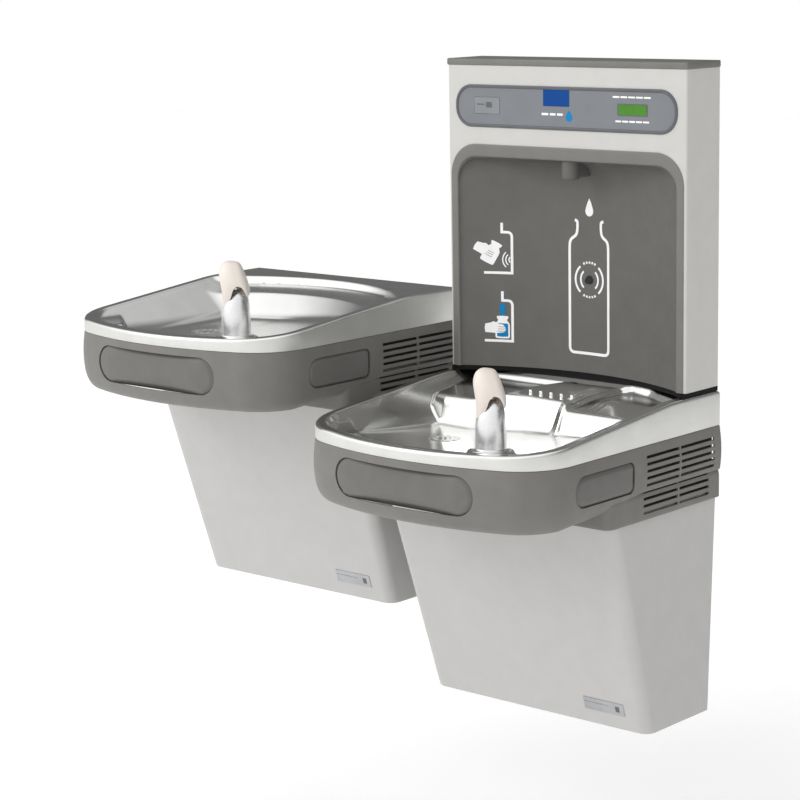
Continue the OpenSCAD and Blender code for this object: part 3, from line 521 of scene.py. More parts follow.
def outline_distance(x, y, corners):
    """Signed distance to a closed outline, negative inside it."""
    corners = np.asarray(corners, float)
    nearest = np.full(np.shape(x), 1e9)
    crossings = np.zeros(np.shape(x), int)
    for (ax, ay), (bx, by) in zip(corners, np.roll(corners, -1, axis=0)):
        ex, ey = bx - ax, by - ay
        t = np.clip(((x - ax) * ex + (y - ay) * ey) / (ex * ex + ey * ey), 0, 1)
        nearest = np.minimum(nearest, np.hypot(x - ax - t * ex, y - ay - t * ey))
        spans = (ay > y) != (by > y)
        rise = np.where(abs(ey) < 1e-9, 1e-9, ey)
        crossings += spans & (x < ax + (y - ay) * ex / rise)
    return np.where(crossings % 2 == 1, -nearest, nearest)


# ---------- basins ----------

# How far the sheet falls below the rim, against the distance in from the rim
FRONT_WALL = [(0, 0), (2, 3), (14, 27), (40, 95)]
LOW_LEFT_WALL = [(0, 0), (3, 3.5), (42, 47), (70, 90)]
HIGH_LEFT_WALL = [(0, 0), (3, 3), (68, 44), (95, 80)]
RIGHT_WALL = [(0, 0), (3, 3), (42, 44), (70, 95)]
REAR_WALL = [(-20, 0), (0, 0.3), (5, 2.5), (9, 13), (50, 23), (94, 58), (130, 110)]
SHELF_FACE = [(-30, 0), (-4, 0), (1, 1.5), (5, 7), (16, 36), (26, 52), (60, 140)]
LEDGE_FACE = [(-20, 0), (0, 0), (7, 14), (20, 60)]
# Outlines on the low shelf and in the front left corner, in X and Y
SHELF = [(-233, 10), (-190, -60), (-184, -150), (-184, -178), (-172, -194), (-150, -198), (-97, -196),
         (-60, -180), (0, -172), (64, -176), (80, -190), (104, -192), (240, -194), (240, 10)]
PLATEAU = [(86, -58), (99, -42), (140, -52), (206, -88), (250, -130), (250, -300), (70, -300), (76, -190)]
POCKET = [(-260, -58), (-18, -58), (-46, -168), (-46, -330), (-260, -330)]
LEDGE = [(-250, -380), (-207, -362), (-132, -424), (-140, -500), (-250, -500)]
LEDGE_Z = 477.0
BOWL_MIDDLE = (0.0, -235.0)


def common_bowl(x, y, left_wall, rise, left_stretch=1.0, tilt=0.0):
    """Floor, walls, corner ledge and bubbler seat that both bowls share."""
    rim = rim_height(y)
    inside = rim_distance(x, y) - RIM_W
    mouth = HALF_W - RIM_W
    z = FLOOR_Z + rise * np.hypot(x - DRAIN_AT[0], y - DRAIN_AT[1])
    # To the right of the drain the floor climbs a little more
    z = z + tilt * np.hypot(np.clip(x - DRAIN_AT[0] - 25, 0, None), 8)
    z = blend_max(z, rim - soft_profile((mouth + x) / left_stretch, left_wall, 3), 14)
    z = blend_max(z, rim - soft_profile(mouth - x, RIGHT_WALL, 3), 14)
    z = blend_max(z, rim - soft_profile(inside, FRONT_WALL, 1.5), 6)
    ledge = LEDGE_Z - soft_profile(outline_distance(x, y, LEDGE), LEDGE_FACE, 2)
    z = blend_max(z, ledge, 4)
    seat = BUBBLER_Z - np.clip((np.hypot(x - BUBBLER_AT[0], y - BUBBLER_AT[1]) - 34) * 1.6, 0, 200)
    return np.minimum(blend_max(z, seat, 4), rim)


def low_bowl(x, y):
    """The low bowl: the shared shape with a drip shelf, its pocket and its raised right end."""
    rim = rim_height(y)
    inside = rim_distance(x, y) - RIM_W
    # The left wall leans out more towards the rear
    z = common_bowl(x, y, LOW_LEFT_WALL, 0.045, np.clip((21 + 0.3 * (y + 346)) / 42, 0.4, 2.2), tilt=0.02)
    pocket = 1 - smooth_step(outline_distance(x, y, POCKET), -9, 1)
    sunk = smooth_step(inside, 0, 9) * smooth_step(-y, 44, 60)
    plateau = 1 - smooth_step(outline_distance(x, y, PLATEAU), -6, 2)
    top = rim - 3.5 * sunk - 9 * pocket - 9 * plateau * smooth_step(inside, -1, 6)
    shelf = top - soft_profile(outline_distance(x, y, SHELF), SHELF_FACE, 3)
    return np.minimum(blend_max(z, shelf, 7), rim)


def high_bowl(x, y):
    """The high bowl: the shared shape with a stepped rear wall that bows backwards."""
    rim = rim_height(y)
    z = common_bowl(x, y, HIGH_LEFT_WALL, 0.03, tilt=0.055)
    rear = 340.0 - np.hypot(x, y + 385.0)
    return np.minimum(blend_max(z, rim - soft_profile(rear, REAR_WALL, 2.5), 9), rim)


# The rolled edge from the skirt's foot to the bowl's mouth: inset, share of the rim height, drop
ROLL = [(2.0, 0, 0), (0.4, 0, 0), (0.0, 0, -0.8), (0.0, 1, 12), (0.0, 1, 5.5), (0.2, 1, 3.9),
        (0.8, 1, 2.4), (1.8, 1, 1.2), (3.2, 1, 0.4), (5.0, 1, 0.0), (8.0, 1, 0.1), (11.5, 1, 0.5),
        (13.5, 1, 0.3), (15.0, 1, 0.2)]
BOWL_RINGS = 128
UNDER_RINGS = 20
UNDER_T = 4.5


def basin(unit, height):
    """The pressed basin: a skirt, a rolled rim and a bowl whose depth follows height(x, y)."""
    path = plan_path(105, 32, 96, 128)
    rows = UNDER_RINGS + len(ROLL) + BOWL_RINGS

    def place(i, j):
        point = path[i]
        # Rows run from the middle of the underside out to the edge, over the rim and into the bowl
        under = j < UNDER_RINGS
        inset, share, drop = np.array(ROLL)[np.clip(j - UNDER_RINGS, 0, len(ROLL) - 1)].T
        bowl_share = np.clip((j - UNDER_RINGS - len(ROLL) + 1) / (BOWL_RINGS + 1), 0, 1)
        share_in = np.where(under, 1 - j / UNDER_RINGS, bowl_share)
        x, y = inset_by(point, np.where(under, 3.0, inset))
        mouth_x, mouth_y = inset_by(point, RIM_W)
        in_bowl = share_in > 0
        x = np.where(in_bowl, mouth_x + (BOWL_MIDDLE[0] - mouth_x) * share_in, x)
        y = np.where(in_bowl, mouth_y + (BOWL_MIDDLE[1] - mouth_y) * share_in, y)
        rim = rim_height(y)
        z = np.where(share > 0, rim, SKIRT_Z) - drop
        z = np.where(in_bowl, height(x, y), z)
        return x, y, np.where(under, z - UNDER_T, z)

    skin = sheet(len(path) - 1, rows, place, UNITS[unit])
    finished(skin, f"{unit}_pressed_basin", "root", BASIN_STEEL, smooth=60,
             replaces=[f"{unit}_basin"])
    skin.data.materials.append(SKIRT_STEEL)
    for face in skin.data.polygons:
        spot = np.array(face.center[:2]) / MM - UNITS[unit][:2]
        if abs(face.normal.z) < 0.45 and rim_distance(*spot) < 2:
            face.material_index = 1


basin("low", low_bowl)
basin("high", high_bowl)

STUD_Y = -157.0
STUD_PITCH = 20.0
RIB_PITCH = 9.5
# How far the shelf's dished floor lies below the rim
SHELF_SUNK = 4.2

# Studs and ribs that a bottle's drips run off, on the low unit's shelf
for i in range(5):
    foot = (-12 + STUD_PITCH * i, STUD_Y, rim_height(STUD_Y) - SHELF_SUNK)
    stud = turned([(3.4, 0), (3.4, 4.6), (2.9, 6.0), (1.5, 6.6)], foot, LOW, around=20)
    finished(stud, f"drip_stud_{i}", "root", BASIN_STEEL, smooth=60)
# Overflow slots at the rear of the shelf, as thin black blocks: painted shade where the slots open into the
# dark
for i, (x0, x1, y) in enumerate(((-10, 4, -58), (-4, 12, -52), (0, 8, -64))):
    slot = block((x0, y - 2, DECK_Z - SHELF_SUNK), (x1, y + 2, DECK_Z - SHELF_SUNK + 1), LOW, bevel=0.3)
    finished(slot, f"overflow_slot_shade_{i}", "root", BLACK_RUBBER_AND_HOLE_SHADE, smooth=30)


def drip_rib(x, front_y, rear_y=-70.0, columns=40, rows=8):
    """A half-round rib with tapered ends that runs from front to rear."""
    def place(i, j):
        u, a = i / columns, math.pi * j / rows
        y = front_y + (rear_y - front_y) * u
        ends = np.sin(np.clip(np.minimum(u, 1 - u) * 14, 0, 1) * math.pi / 2)
        return x + 1.8 * np.cos(a) * ends, y, rim_height(y) - 4.4 + 2.0 * np.sin(a) * ends
    return sheet(columns, rows, place, LOW, inner=(x, -120, 400))


ribs = [drip_rib(54 + RIB_PITCH * i, -168.0 - 2 * i) for i in range(6)]
finished(joined(ribs), "drip_ribs", "root", BASIN_STEEL, smooth=60)


# ---------- aprons ----------

# The band's swell ends at this height
SWELL_Z = 386.0
# Where the band starts to tuck under, and how far in it goes at the sides and, further, at the front
TUCK_Z = 397.0
TUCK_IN = 5.0
TUCK_IN_FRONT = 19.0
# Between these depths from the wall the band changes from its side shape to its front shape
SIDE_TO_FRONT = (205.0, 400.0)
# The collar under the band, and the heights between which it steps in behind the band
COLLAR_R = 15.0
COLLAR_HALF = HALF_W - 0.5
COLLAR_TOP = 410.0
COLLAR_STEP = (384.0, 404.0)
COLLAR_STEP_IN = 5.0
# Where the louvres' ends fall, on the band and on the collar
BAND_SLOT_ENDS = (-18.0, -196.0)
COLLAR_SLOT_ENDS = (-28.0, -200.0)
BAFFLE_X = 219.0
BAFFLE_T = 2.4


def swell_out(z):
    """How far the apron swells past the basin's plan at a height."""
    t = np.clip((APRON_TOP - z) / (APRON_TOP - SWELL_Z), 0, 1)
    return SWELL * np.sin(math.pi * t)


def band_bottom(y):
    """Height of the band's lower edge, which drops towards the front."""
    return np.interp(-y, [0, 205, 285, 390, 500], [BAND_Z, BAND_Z, 376.0, APRON_Z, APRON_Z])


def slot_rows(first, last):
    """Middle heights of a run of louvres."""
    return [SLOT_FIRST_Z - SLOT_PITCH * i for i in range(first, last)]


def in_slot(middle, at, rows, ends):
    """Which faces, by their middles, lie in the louvres."""
    local = middle / MM - at
    hit = np.zeros(len(local), bool)
    for z in rows:
        hit |= np.abs(local[:, 2] - z) < SLOT_H / 2
    y = local[:, 1]
    hit &= (y < ends[0]) & (y > ends[1]) & ((y > SLOT_RIB_Y[1]) | (y < SLOT_RIB_Y[0]))
    return hit & (np.abs(local[:, 0]) > HALF_W - 8)


def drop_faces(skin, picks):
    """Deletes the faces whose middles picks chooses."""
    chosen = picks(of_faces(skin, "center"))
    edit(skin, lambda: bpy.ops.mesh.delete(type="FACE"), where=lambda s: chosen)


def slot_marks(rows):
    """Upper and lower edges of the louvres, where rows of faces have to end."""
    return [z + side * SLOT_H / 2 for z in rows for side in (-1, 1)]


def rounded_rect(x0, x1, z0, z1, r, count=8):
    """A rectangle's outline with round corners, from its lower right corner round."""
    r = np.broadcast_to(r, 4)
    middles = [(x1 - r[0], z0 + r[0], -0.5), (x1 - r[1], z1 - r[1], 0.0),
               (x0 + r[2], z1 - r[2], 0.5), (x0 + r[3], z0 + r[3], 1.0)]
    return np.vstack([ring_points(x, z, radius, count, start * math.pi, (start + 0.5) * math.pi)
                      for (x, z, start), radius in zip(middles, r)])


PAD_GAP = 1.0
PAD_WALL = 2.5
# Width, height and middle height of the front pad; a side pad's middle Y comes last
FRONT_PAD = (264.0, 58.0, 421.5)
SIDE_PAD = (143.0, 46.0, 421.0, -300.0)


def side_pad_outline(grow=0.0, count=28):
    """The side pad's outline in Y and Z: round to the front, squarer towards the wall."""
    w, h, z, y = SIDE_PAD
    front_r, rear_r = h / 2 + grow, 9.0 + grow
    return rounded_rect(y - w / 2 - grow, y + w / 2 + grow, z - h / 2 - grow, z + h / 2 + grow,
                        [rear_r, rear_r, front_r, front_r], count)


def front_pad_outline(grow=0.0, count=28):
    """The front pad's outline in X and Z, with round ends."""
    w, h, z = FRONT_PAD
    r = h / 2 + grow
    return rounded_rect(-w / 2 - grow, w / 2 + grow, z - h / 2 - grow, z + h / 2 + grow, r - 0.01, count)


def apron(unit):
    """The band round the basin, its louvred collar, and the recesses for the pads."""
    at = UNITS[unit]
    band_slots = slot_rows(0, 5)
    path = plan_path(60, 20, 60, side_marks=[*BAND_SLOT_ENDS, *SLOT_RIB_Y])
    levels = [np.linspace(APRON_TOP, TUCK_Z, 20), slot_marks(band_slots)]
    levels = np.unique(np.concatenate(levels))[::-1]
    tuck_rows = 10
    rows = len(levels) - 1 + tuck_rows + 3

    def place(i, j):
        point = path[i]
        # Two rows turn in over the band's top edge before the first level
        row = j - 2
        level = levels[np.clip(row, 0, len(levels) - 1)]
        tuck = np.clip((row - len(levels) + 1) / tuck_rows, 0, 1) * math.pi / 2
        ahead = smooth_step(-point[:, 1], *SIDE_TO_FRONT)
        base = band_bottom(point[:, 1])
        z = np.where(tuck > 0, TUCK_Z - (TUCK_Z - base) * np.sin(tuck), level)
        inset = -swell_out(z) + (1 - np.cos(tuck)) * (TUCK_IN + TUCK_IN_FRONT * ahead)
        inset = np.where(row < -1, 6.0, np.where(row < 0, 1.2, inset))
        z = np.where(row < 0, APRON_TOP, np.where(row == 0, APRON_TOP - 1.0, z))
        return *inset_by(point, inset), z

    band = sheet(len(path) - 1, rows, place, at, inner=(0, -200, 420))
    drop_faces(band, lambda m: in_slot(m, at, band_slots, BAND_SLOT_ENDS))
    apply(band, "SOLIDIFY", thickness=APRON_T * MM, offset=-1.0)
    front_tool = prism(front_pad_outline(PAD_GAP), FRONT_Y - 20, FRONT_Y + 70, at)
    cut(band, front_tool)
    for side in (-1, 1):
        tool = prism(side_pad_outline(PAD_GAP), -10, 30, np.zeros(3))
        spots = points_of(tool) / MM
        turned_spots = np.column_stack([side * (HALF_W - 10) + side * spots[:, 1], spots[:, 0], spots[:, 2]])
        place_points(tool, (turned_spots + at) * MM)
        edit(tool, outwards)
        cut(band, tool)
    finished(band, f"{unit}_apron_band", "root", APRON, smooth=32,
             replaces=[f"{unit}_apron"])

    # Lower collar, square in plan with round front corners
    collar_slots = slot_rows(5, 9)
    r, half = COLLAR_R, COLLAR_HALF
    marks = [*COLLAR_SLOT_ENDS, *SLOT_RIB_Y]
    side_y = np.unique(np.concatenate([np.linspace(0, -COLLAR_D + r, 40), marks]))[::-1]
    points = [(-half, y, -1.0, 0.0) for y in side_y]
    points += bend(-half + r, -COLLAR_D + r, r, math.pi, 1.5 * math.pi, 8)[1:]
    points += bend(half - r, -COLLAR_D + r, r, 1.5 * math.pi, 2 * math.pi, 8)
    points += [(half, y, 1.0, 0.0) for y in side_y[::-1][1:]]
    ring = np.array(points)
    levels = [np.linspace(COLLAR_TOP, COLLAR_Z + 2, 14), slot_marks(collar_slots)]
    heights = np.unique(np.concatenate(levels))[::-1]
    edge = [(COLLAR_Z + 1.0, 0.3), (COLLAR_Z + 0.3, 1.0), (COLLAR_Z, 2.2), (COLLAR_Z, 14.0)]
    stack = np.array([(z, 0.0) for z in heights] + edge)

    def collar_place(i, j):
        z, inset = stack[j].T
        return *inset_by(ring[i], inset + COLLAR_STEP_IN * smooth_step(z, *COLLAR_STEP)), z

    collar = sheet(len(ring) - 1, len(stack) - 1, collar_place, at, inner=(0, -100, 380))
    drop_faces(collar, lambda m: in_slot(m, at, collar_slots, COLLAR_SLOT_ENDS))
    apply(collar, "SOLIDIFY", thickness=APRON_T * MM, offset=-1.0)
    finished(collar, f"{unit}_apron_collar", "root", APRON, smooth=40)


# A pad's crown: distance in from its edge, height over the apron
CROWN = [(-3.0, -6.0), (-2.6, -5.2), (0.0, -5.2), (0.0, -2.9), (0.4, -2.4), (1.2, -2.0), (5.2, 0.45),
         (6.0, 0.8), (7.2, 0.93), (8.6, 0.95)]


def pad(unit, which):
    """A push pad: a pillowed cap with a stepped edge that follows the apron's swell."""
    at = UNITS[unit]
    side = {"left": -1, "front": 0, "right": 1}[which]
    outline_at = front_pad_outline if side == 0 else side_pad_outline
    steps = len(outline_at(0.0))
    fill = 10
    rows = len(CROWN) - 1 + fill
    rings = np.array([outline_at(-d) for d, h in CROWN])
    spine_y = SIDE_PAD[3] if side else 0.0
    spine_z = SIDE_PAD[2] if side else FRONT_PAD[2]
    reach = (SIDE_PAD[0] - SIDE_PAD[1]) / 2 if side else (FRONT_PAD[0] - FRONT_PAD[1]) / 2

    def place(i, j):
        step = np.clip(j, 0, len(CROWN) - 1)
        a, z = rings[step, i % steps].T
        lift = np.array([h for d, h in CROWN])[step]
        inward = np.clip((j - len(CROWN) + 1) / fill, 0, 1)
        near = np.clip(a, spine_y - reach, spine_y + reach)
        a = a + (near - a) * inward
        z = z + (spine_z - z) * inward
        out = swell_out(z) + lift
        if side:
            return side * (HALF_W + out), a, z
        return a, FRONT_MID_Y - np.sqrt((FRONT_R + out) ** 2 - a ** 2), z

    cap = sheet(steps, rows, place, at, inner=(side * 150, -200, 421))
    apply(cap, "SOLIDIFY", thickness=PAD_WALL * MM, offset=-1.0)
    finished(cap, f"{unit}_{which}_push_pad", f"{unit}_{which}_pad", PAD, smooth=50,
             replaces=[f"{unit}_{which}_pad"])


def baffles(unit):
    """Dark boards that stand inside the louvres on both sides: painted shade for the shaded interior behind
    them.
    """
    boards = [block((side * BAFFLE_X - BAFFLE_T / 2, -212, 352), (side * BAFFLE_X + BAFFLE_T / 2, -1, 458),
                    UNITS[unit], bevel=0.4) for side in (-1, 1)]
    finished(joined(boards), f"{unit}_louvre_shade_board", "root", LOUVRE_SHADE_BOARD, smooth=30)


for unit in UNITS:
    apron(unit)
    baffles(unit)
    for which in ("left", "front", "right"):
        pad(unit, which)


# ---------- cabinets ----------

PANEL_TOP = 362.0
PANEL_HALF = 214.0
PANEL_DEPTH = 160.0
PANEL_R = 20.0
SHEET_T = 1.6
SIDE_SLOPE = 0.034
FRONT_SLOPE = 0.31
# The folded foot: height, inset
FOOT = [(1.6, 26.0), (0.0, 26.0), (0.0, 3.0), (0.35, 1.4), (1.1, 0.5), (2.2, 0.1), (3.6, 0.0)]


def cabinet(unit):
    """The folded sheet cabinet, wider and deeper towards its top."""
    steps, corner, front = 6, 12, 20
    unit_path = [("side", -1, y) for y in np.linspace(0, 1, steps + 1)]
    unit_path += [("corner", -1, a) for a in np.linspace(math.pi, 1.5 * math.pi, corner + 1)]
    unit_path += [("front", x, 0) for x in np.linspace(-1, 1, front + 1)[1:-1]]
    unit_path += [("corner", 1, a) for a in np.linspace(1.5 * math.pi, 2 * math.pi, corner + 1)]
    unit_path += [("side", 1, y) for y in np.linspace(1, 0, steps + 1)]
    stack = FOOT + [(z, 0.0) for z in np.linspace(3.6, PANEL_TOP, 14)[1:]]

    def spot(step, z, inset):
        kind, a, b = step
        r = PANEL_R - min(inset, 16.0)
        w = PANEL_HALF + SIDE_SLOPE * z - inset
        d = PANEL_DEPTH + FRONT_SLOPE * z - inset
        if kind == "side":
            return a * w, -(d - r) * b, z
        if kind == "front":
            return a * (w - r), -d, z
        return a * (w - r) + r * math.cos(b), -(d - r) + r * math.sin(b), z

    table = np.array([[spot(step, z, inset) for step in unit_path] for z, inset in stack])

    skin = sheet(len(unit_path) - 1, len(stack) - 1, lambda i, j: tuple(table[j, i].T), UNITS[unit],
                 inner=(0, -60, 180), wall=SHEET_T)
    finished(skin, f"{unit}_cabinet_panel", "root", PAINT, smooth=30,
             replaces=[f"{unit}_panel"])


for unit in UNITS:
    cabinet(unit)


# ---------- bubblers ----------

# How far the hood and dome are turned towards the user, in degrees
GUARD_TURN = 41.0
HOOD_T = 2.2
# From this height over its foot, the body's dome leans back under the hood
LEAN_FROM = 42.0
LEAN_RISE = 36.0
LEAN = 6.0


def bubbler(unit):
    """The polished spout body, its foot plate, its nozzle and the soft hood over it."""
    at = UNITS[unit]
    foot = (*BUBBLER_AT, BUBBLER_Z)
    body = turned(
        [(29, 0.2), (29.2, 0.8), (28.6, 1.3), (25.2, 1.6), (23.9, 2.4), (23.5, 4), (23.4, 8), (23.2, 20),
         (22.7, 34), (21.6, 48), (19.4, 58), (16, 66), (12.6, 72), (9.6, 75.6), (7.5, 77.4), (4, 78.2)],
        foot, at)
    turn = math.radians(GUARD_TURN)
    spots = points_of(body) / MM
    lean = LEAN * np.clip((spots[:, 2] - at[2] - foot[2] - LEAN_FROM) / LEAN_RISE, 0, 1) ** 1.5
    spots[:, 0] += lean * math.cos(turn)
    spots[:, 1] += lean * math.sin(turn)
    place_points(body, spots * MM)
    finished(body, f"{unit}_bubbler_body", "root", CHROME, smooth=50,
             replaces=[f"{unit}_bubbler"])
    tip = turned([(7.6, 76.6), (7.8, 78.4), (7.2, 80.6), (5.2, 82.2), (4.8, 85.5), (4.2, 87.0), (2.6, 87.4)],
                 foot, at, around=40)
    finished(tip, f"{unit}_bubbler_tip", "root", CHROME, smooth=50,
             replaces=[f"{unit}_bubbler_nozzle"])

    # The hood's ridge, its lip and its half width, from its tail over the top to its front
    spine = [(-23.5, 503), (-22.5, 512), (-21, 524), (-21, 540), (-23.5, 557), (-25, 573), (-21, 585.5),
             (-12.6, 591.5), (-2, 591.5), (8, 588), (15.5, 573), (20.5, 557), (24, 542)]
    lip = [(-20.5, 503), (-17, 509), (-12.5, 518), (-8.5, 528), (-5, 537), (-2, 545), (1.5, 550),
           (5, 552), (9, 551.5), (13, 549), (16.5, 544), (19.5, 538), (21.5, 534)]
    half = [2.5, 7, 11.5, 16, 19.5, 21.5, 22.5, 23, 22.8, 22.4, 21.6, 20, 17]
    along, around = 72, 36
    ridge = curve_through(spine, along + 1)
    rim = curve_through(lip, along + 1)
    width = curve_through([(w, 0) for w in half], along + 1)[:, 0]

    def place(i, j):
        a = (j / around - 0.5) * math.pi
        reach = np.cos(a) ** 0.8
        side = np.sin(a) * width[i]
        run = rim[i, 0] + (ridge[i, 0] - rim[i, 0]) * reach
        z = rim[i, 1] + (ridge[i, 1] - rim[i, 1]) * reach
        x, y = rotated(run, side, turn)
        return BUBBLER_AT[0] + x, BUBBLER_AT[1] + y, z

    hood = sheet(along, around, place, at, inner=(*BUBBLER_AT, 545), wall=HOOD_T)
    edit(hood, lambda: bpy.ops.mesh.vertices_smooth(factor=0.4, repeat=2))
    finished(hood, f"{unit}_mouth_hood", "root", GUARD, smooth=80,
             replaces=[f"{unit}_mouth_guard"])


def strainer(unit):
    """A dished plate over the waste with a ring of punched holes."""
    at = UNITS[unit]
    x, y = DRAIN_AT
    z = FLOOR_Z + 0.6
    plate = turned([(25.0, 0.0), (25.0, 0.5), (24.4, 0.9), (22.0, 1.1), (15.0, 1.0), (8.0, 0.9), (2.0, 0.9)],
                   (x, y, z), at, around=64)
    holes = []
    for ring_r, count, hole_r in ((0.0, 1, 2.6), (8.5, 6, 2.6), (17.0, 10, 2.8)):
        for i in range(count):
            a = 2 * math.pi * i / count + ring_r
            holes.append(turned([(hole_r, -4), (hole_r, 6)],
                                (x + ring_r * math.cos(a), y + ring_r * math.sin(a), z), at, around=14))
    cut(plate, joined(holes))
    finished(plate, f"{unit}_waste_strainer", "root", STRAINER_STEEL, smooth=30,
             replaces=[f"{unit}_strainer"])
    # A thin black disc under the strainer: painted shade, the dark of the drain seen through the holes
    well = turned([(20.0, 0.0), (20.0, 0.35)], (x, y, FLOOR_Z + 0.35), at, around=40)
    finished(well, f"{unit}_waste_drain_shade", "root", BLACK_RUBBER_AND_HOLE_SHADE, smooth=30)


for unit in UNITS:
    bubbler(unit)
    strainer(unit)
    badge_low, badge_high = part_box(f"{unit}_badge")
    tilt = math.atan(FRONT_SLOPE)
    middle = (np.array(badge_low) + np.array(badge_high)) / 2 / MM
    label = block((-38, -0.5, -11), (38, 0.5, 11), np.zeros(3), bevel=0.3, segments=2)
    rule = block((-36, -0.62, 3.0), (10, -0.4, 3.6), np.zeros(3))
    panel = block((22, -0.62, -5), (30, -0.4, 5), np.zeros(3), bevel=0.08)
    for part, tag, skin in ((label, "plate", ETCHED_METAL), (rule, "rule", SMOKED_FILM_AND_INSET_SHADE), (panel, "panel", SMOKED_FILM_AND_INSET_SHADE)):
        spots = points_of(part)
        tilted = np.column_stack([spots[:, 0], *rotated(spots[:, 1], spots[:, 2], tilt)])
        place_points(part, tilted + middle * MM)
        finished(part, f"{unit}_maker_{tag}", "root", skin, smooth=30,
                 replaces=[f"{unit}_badge"] if tag == "plate" else ())


# ---------- bottle filler ----------

def alcove_outline(half, top, r, foot=CASE_Z, count=14):
    """The alcove's opening from its lower left corner, over round top corners, to the lower right."""
    rise = np.linspace(foot, top - r, 12)
    across = np.linspace(-half + r, half - r, 20)[1:-1]
    return np.vstack([
        np.column_stack([np.full(12, -half), rise]),
        ring_points(-half + r, top - r, r, count, math.pi, math.pi / 2)[1:],
        np.column_stack([across, np.full(18, top)]),
        ring_points(half - r, top - r, r, count, math.pi / 2, 0),
        np.column_stack([np.full(11, half), rise[::-1][1:]])])


def case_shell():
    """The folded case: rounded upright corners, open at the alcove."""
    r, half = CASE_R, CASE_HALF
    depth = np.linspace(-1, CASE_Y + r, 6)
    ring = np.vstack([
        np.column_stack([np.full(6, -half), depth]),
        ring_points(-half + r, CASE_Y + r, r, 7, math.pi, 1.5 * math.pi)[1:],
        ring_points(half - r, CASE_Y + r, r, 7, 1.5 * math.pi, 2 * math.pi),
        np.column_stack([np.full(5, half), depth[::-1][1:]])])

    rows = 4
    skin = sheet(len(ring) - 1, rows, lambda i, j: (*ring[i].T, CASE_Z + (CASE_TOP - CASE_Z) * j / rows),
                 LOW, inner=(0, -20, 760), wall=SHEET_T)
    # The bezel overlaps the opening's edge by this much
    lap = 4
    opening = alcove_outline(BEZEL_HALF - lap, BEZEL_TOP - lap, BEZEL_R - lap, CASE_Z - 10)
    cut(skin, prism(opening, CASE_Y - 9, CASE_Y + 9, LOW))
    finished(skin, "filler_case_shell", "root", CASE_PAINT, smooth=30,
             replaces=["filler_case"])


def back_y(x):
    """The alcove's curved back wall."""
    return ALCOVE_MID_Y + np.sqrt(ALCOVE_R ** 2 - x ** 2)


def alcove_liner():
    """Bezel, then a ceiling that rolls down into the curved back wall, as one moulding."""
    outer = alcove_outline(BEZEL_HALF, BEZEL_TOP, BEZEL_R)
    inner = alcove_outline(MOUTH_HALF, MOUTH_TOP, MOUTH_R)
    # The bezel's section: share of its width, height over the case
    lip = [(0.0, 0.2), (0.0, 1.0), (0.06, 1.4), (0.16, 1.5), (0.8, 1.5), (0.9, 1.35), (0.97, 0.9),
           (1.0, 0.1), (1.0, -5.5)]

    def bezel_place(i, j):
        t, proud = np.array(lip)[j].T
        x = outer[i, 0] + (inner[i, 0] - outer[i, 0]) * t
        z = outer[i, 1] + (inner[i, 1] - outer[i, 1]) * t
        return x, CASE_Y - proud, z

    bezel = sheet(len(outer) - 1, len(lip) - 1, bezel_place, LOW, inner=(0, 200, 700), wall=0.9)
    finished(bezel, "alcove_bezel", "root", BEZEL, smooth=40)

    columns, ceiling_rows, arc, drop = 120, 4, 16, 60

    def place(i, j):
        x = (i / columns * 2 - 1) * MOUTH_HALF
        side = np.clip(np.abs(x) - (MOUTH_HALF - MOUTH_R), 0, MOUTH_R)
        top = MOUTH_TOP - MOUTH_R + np.sqrt(np.clip(MOUTH_R ** 2 - side ** 2, 0, None))
        y_back = back_y(x)
        depth = y_back - CASE_Y
        r = np.minimum(COVE_R, depth * 0.85)
        a = np.clip((j - ceiling_rows) / arc, 0, 1) * math.pi / 2
        ceiling = np.clip(j / ceiling_rows, 0, 1)
        y = CASE_Y + (depth - r) * ceiling + r * np.sin(a)
        z = top - 3 * ceiling - r * (1 - np.cos(a))
        down = np.clip((j - ceiling_rows - arc) / drop, 0, 1)
        return x, y, z - (z - CASE_Z) * down

    liner = sheet(columns, ceiling_rows + arc + drop, place, LOW, inner=(0, 40, 700), wall=2.5)
    finished(liner, "alcove_liner", "root", ALCOVE, smooth=60, replaces=["filler_alcove"])


case_shell()
alcove_liner()

cap_low, cap_high = (np.array(c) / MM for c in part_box("filler_cap"))
finished(block(cap_low, cap_high, np.zeros(3), bevel=1.8, segments=3), "filler_top_cap", "root",
         CAP, smooth=50, replaces=["filler_cap"])

# Filler nozzle: an upright spout whose body runs back to the wall of the alcove
SPOUT_FOOT = (0, -68, 836)
body = block((-12.5, SPOUT_FOOT[1], 838), (12.5, -28, 869), LOW, bevel=4, segments=4)
spout = turned([(11.5, 0), (13.0, 0.5), (13.7, 2.0), (14.0, 6), (14.0, 31)], SPOUT_FOOT, LOW, around=56)
outlet = turned([(6.0, -0.2), (6.0, 0.4)], SPOUT_FOOT, LOW, around=32)
finished(outlet, "filler_outlet", "root", BLACK_RUBBER_AND_HOLE_SHADE, smooth=30)
finished(joined([body, spout]), "filler_nozzle_body", "root", ALCOVE, smooth=50,
         replaces=["filler_nozzle"])

# Nameplate: a rounded rim round a printed face; the rim's section is inset, height over the case
PLATE_HALF = (213.5, 33.5)
PLATE_R = 31.0
PLATE_STEPS = 112
rim_rings = [(0.0, 0.2), (0.0, 1.2), (0.5, 1.8), (1.4, 2.0), (3.4, 2.0), (4.3, 1.8), (5.0, 1.2), (5.2, 0.6)]


def plate_place(i, j):
    inset, proud = np.array(rim_rings)[j].T
    w, h = PLATE_HALF
    rings = np.array([
        rounded_rect(-w + d, w - d, PLATE_Z - h + d, PLATE_Z + h - d, PLATE_R - d, PLATE_STEPS // 4)
        for d, p in rim_rings])
    x, z = rings[j, i % PLATE_STEPS].T
    return x, CASE_Y - proud, z


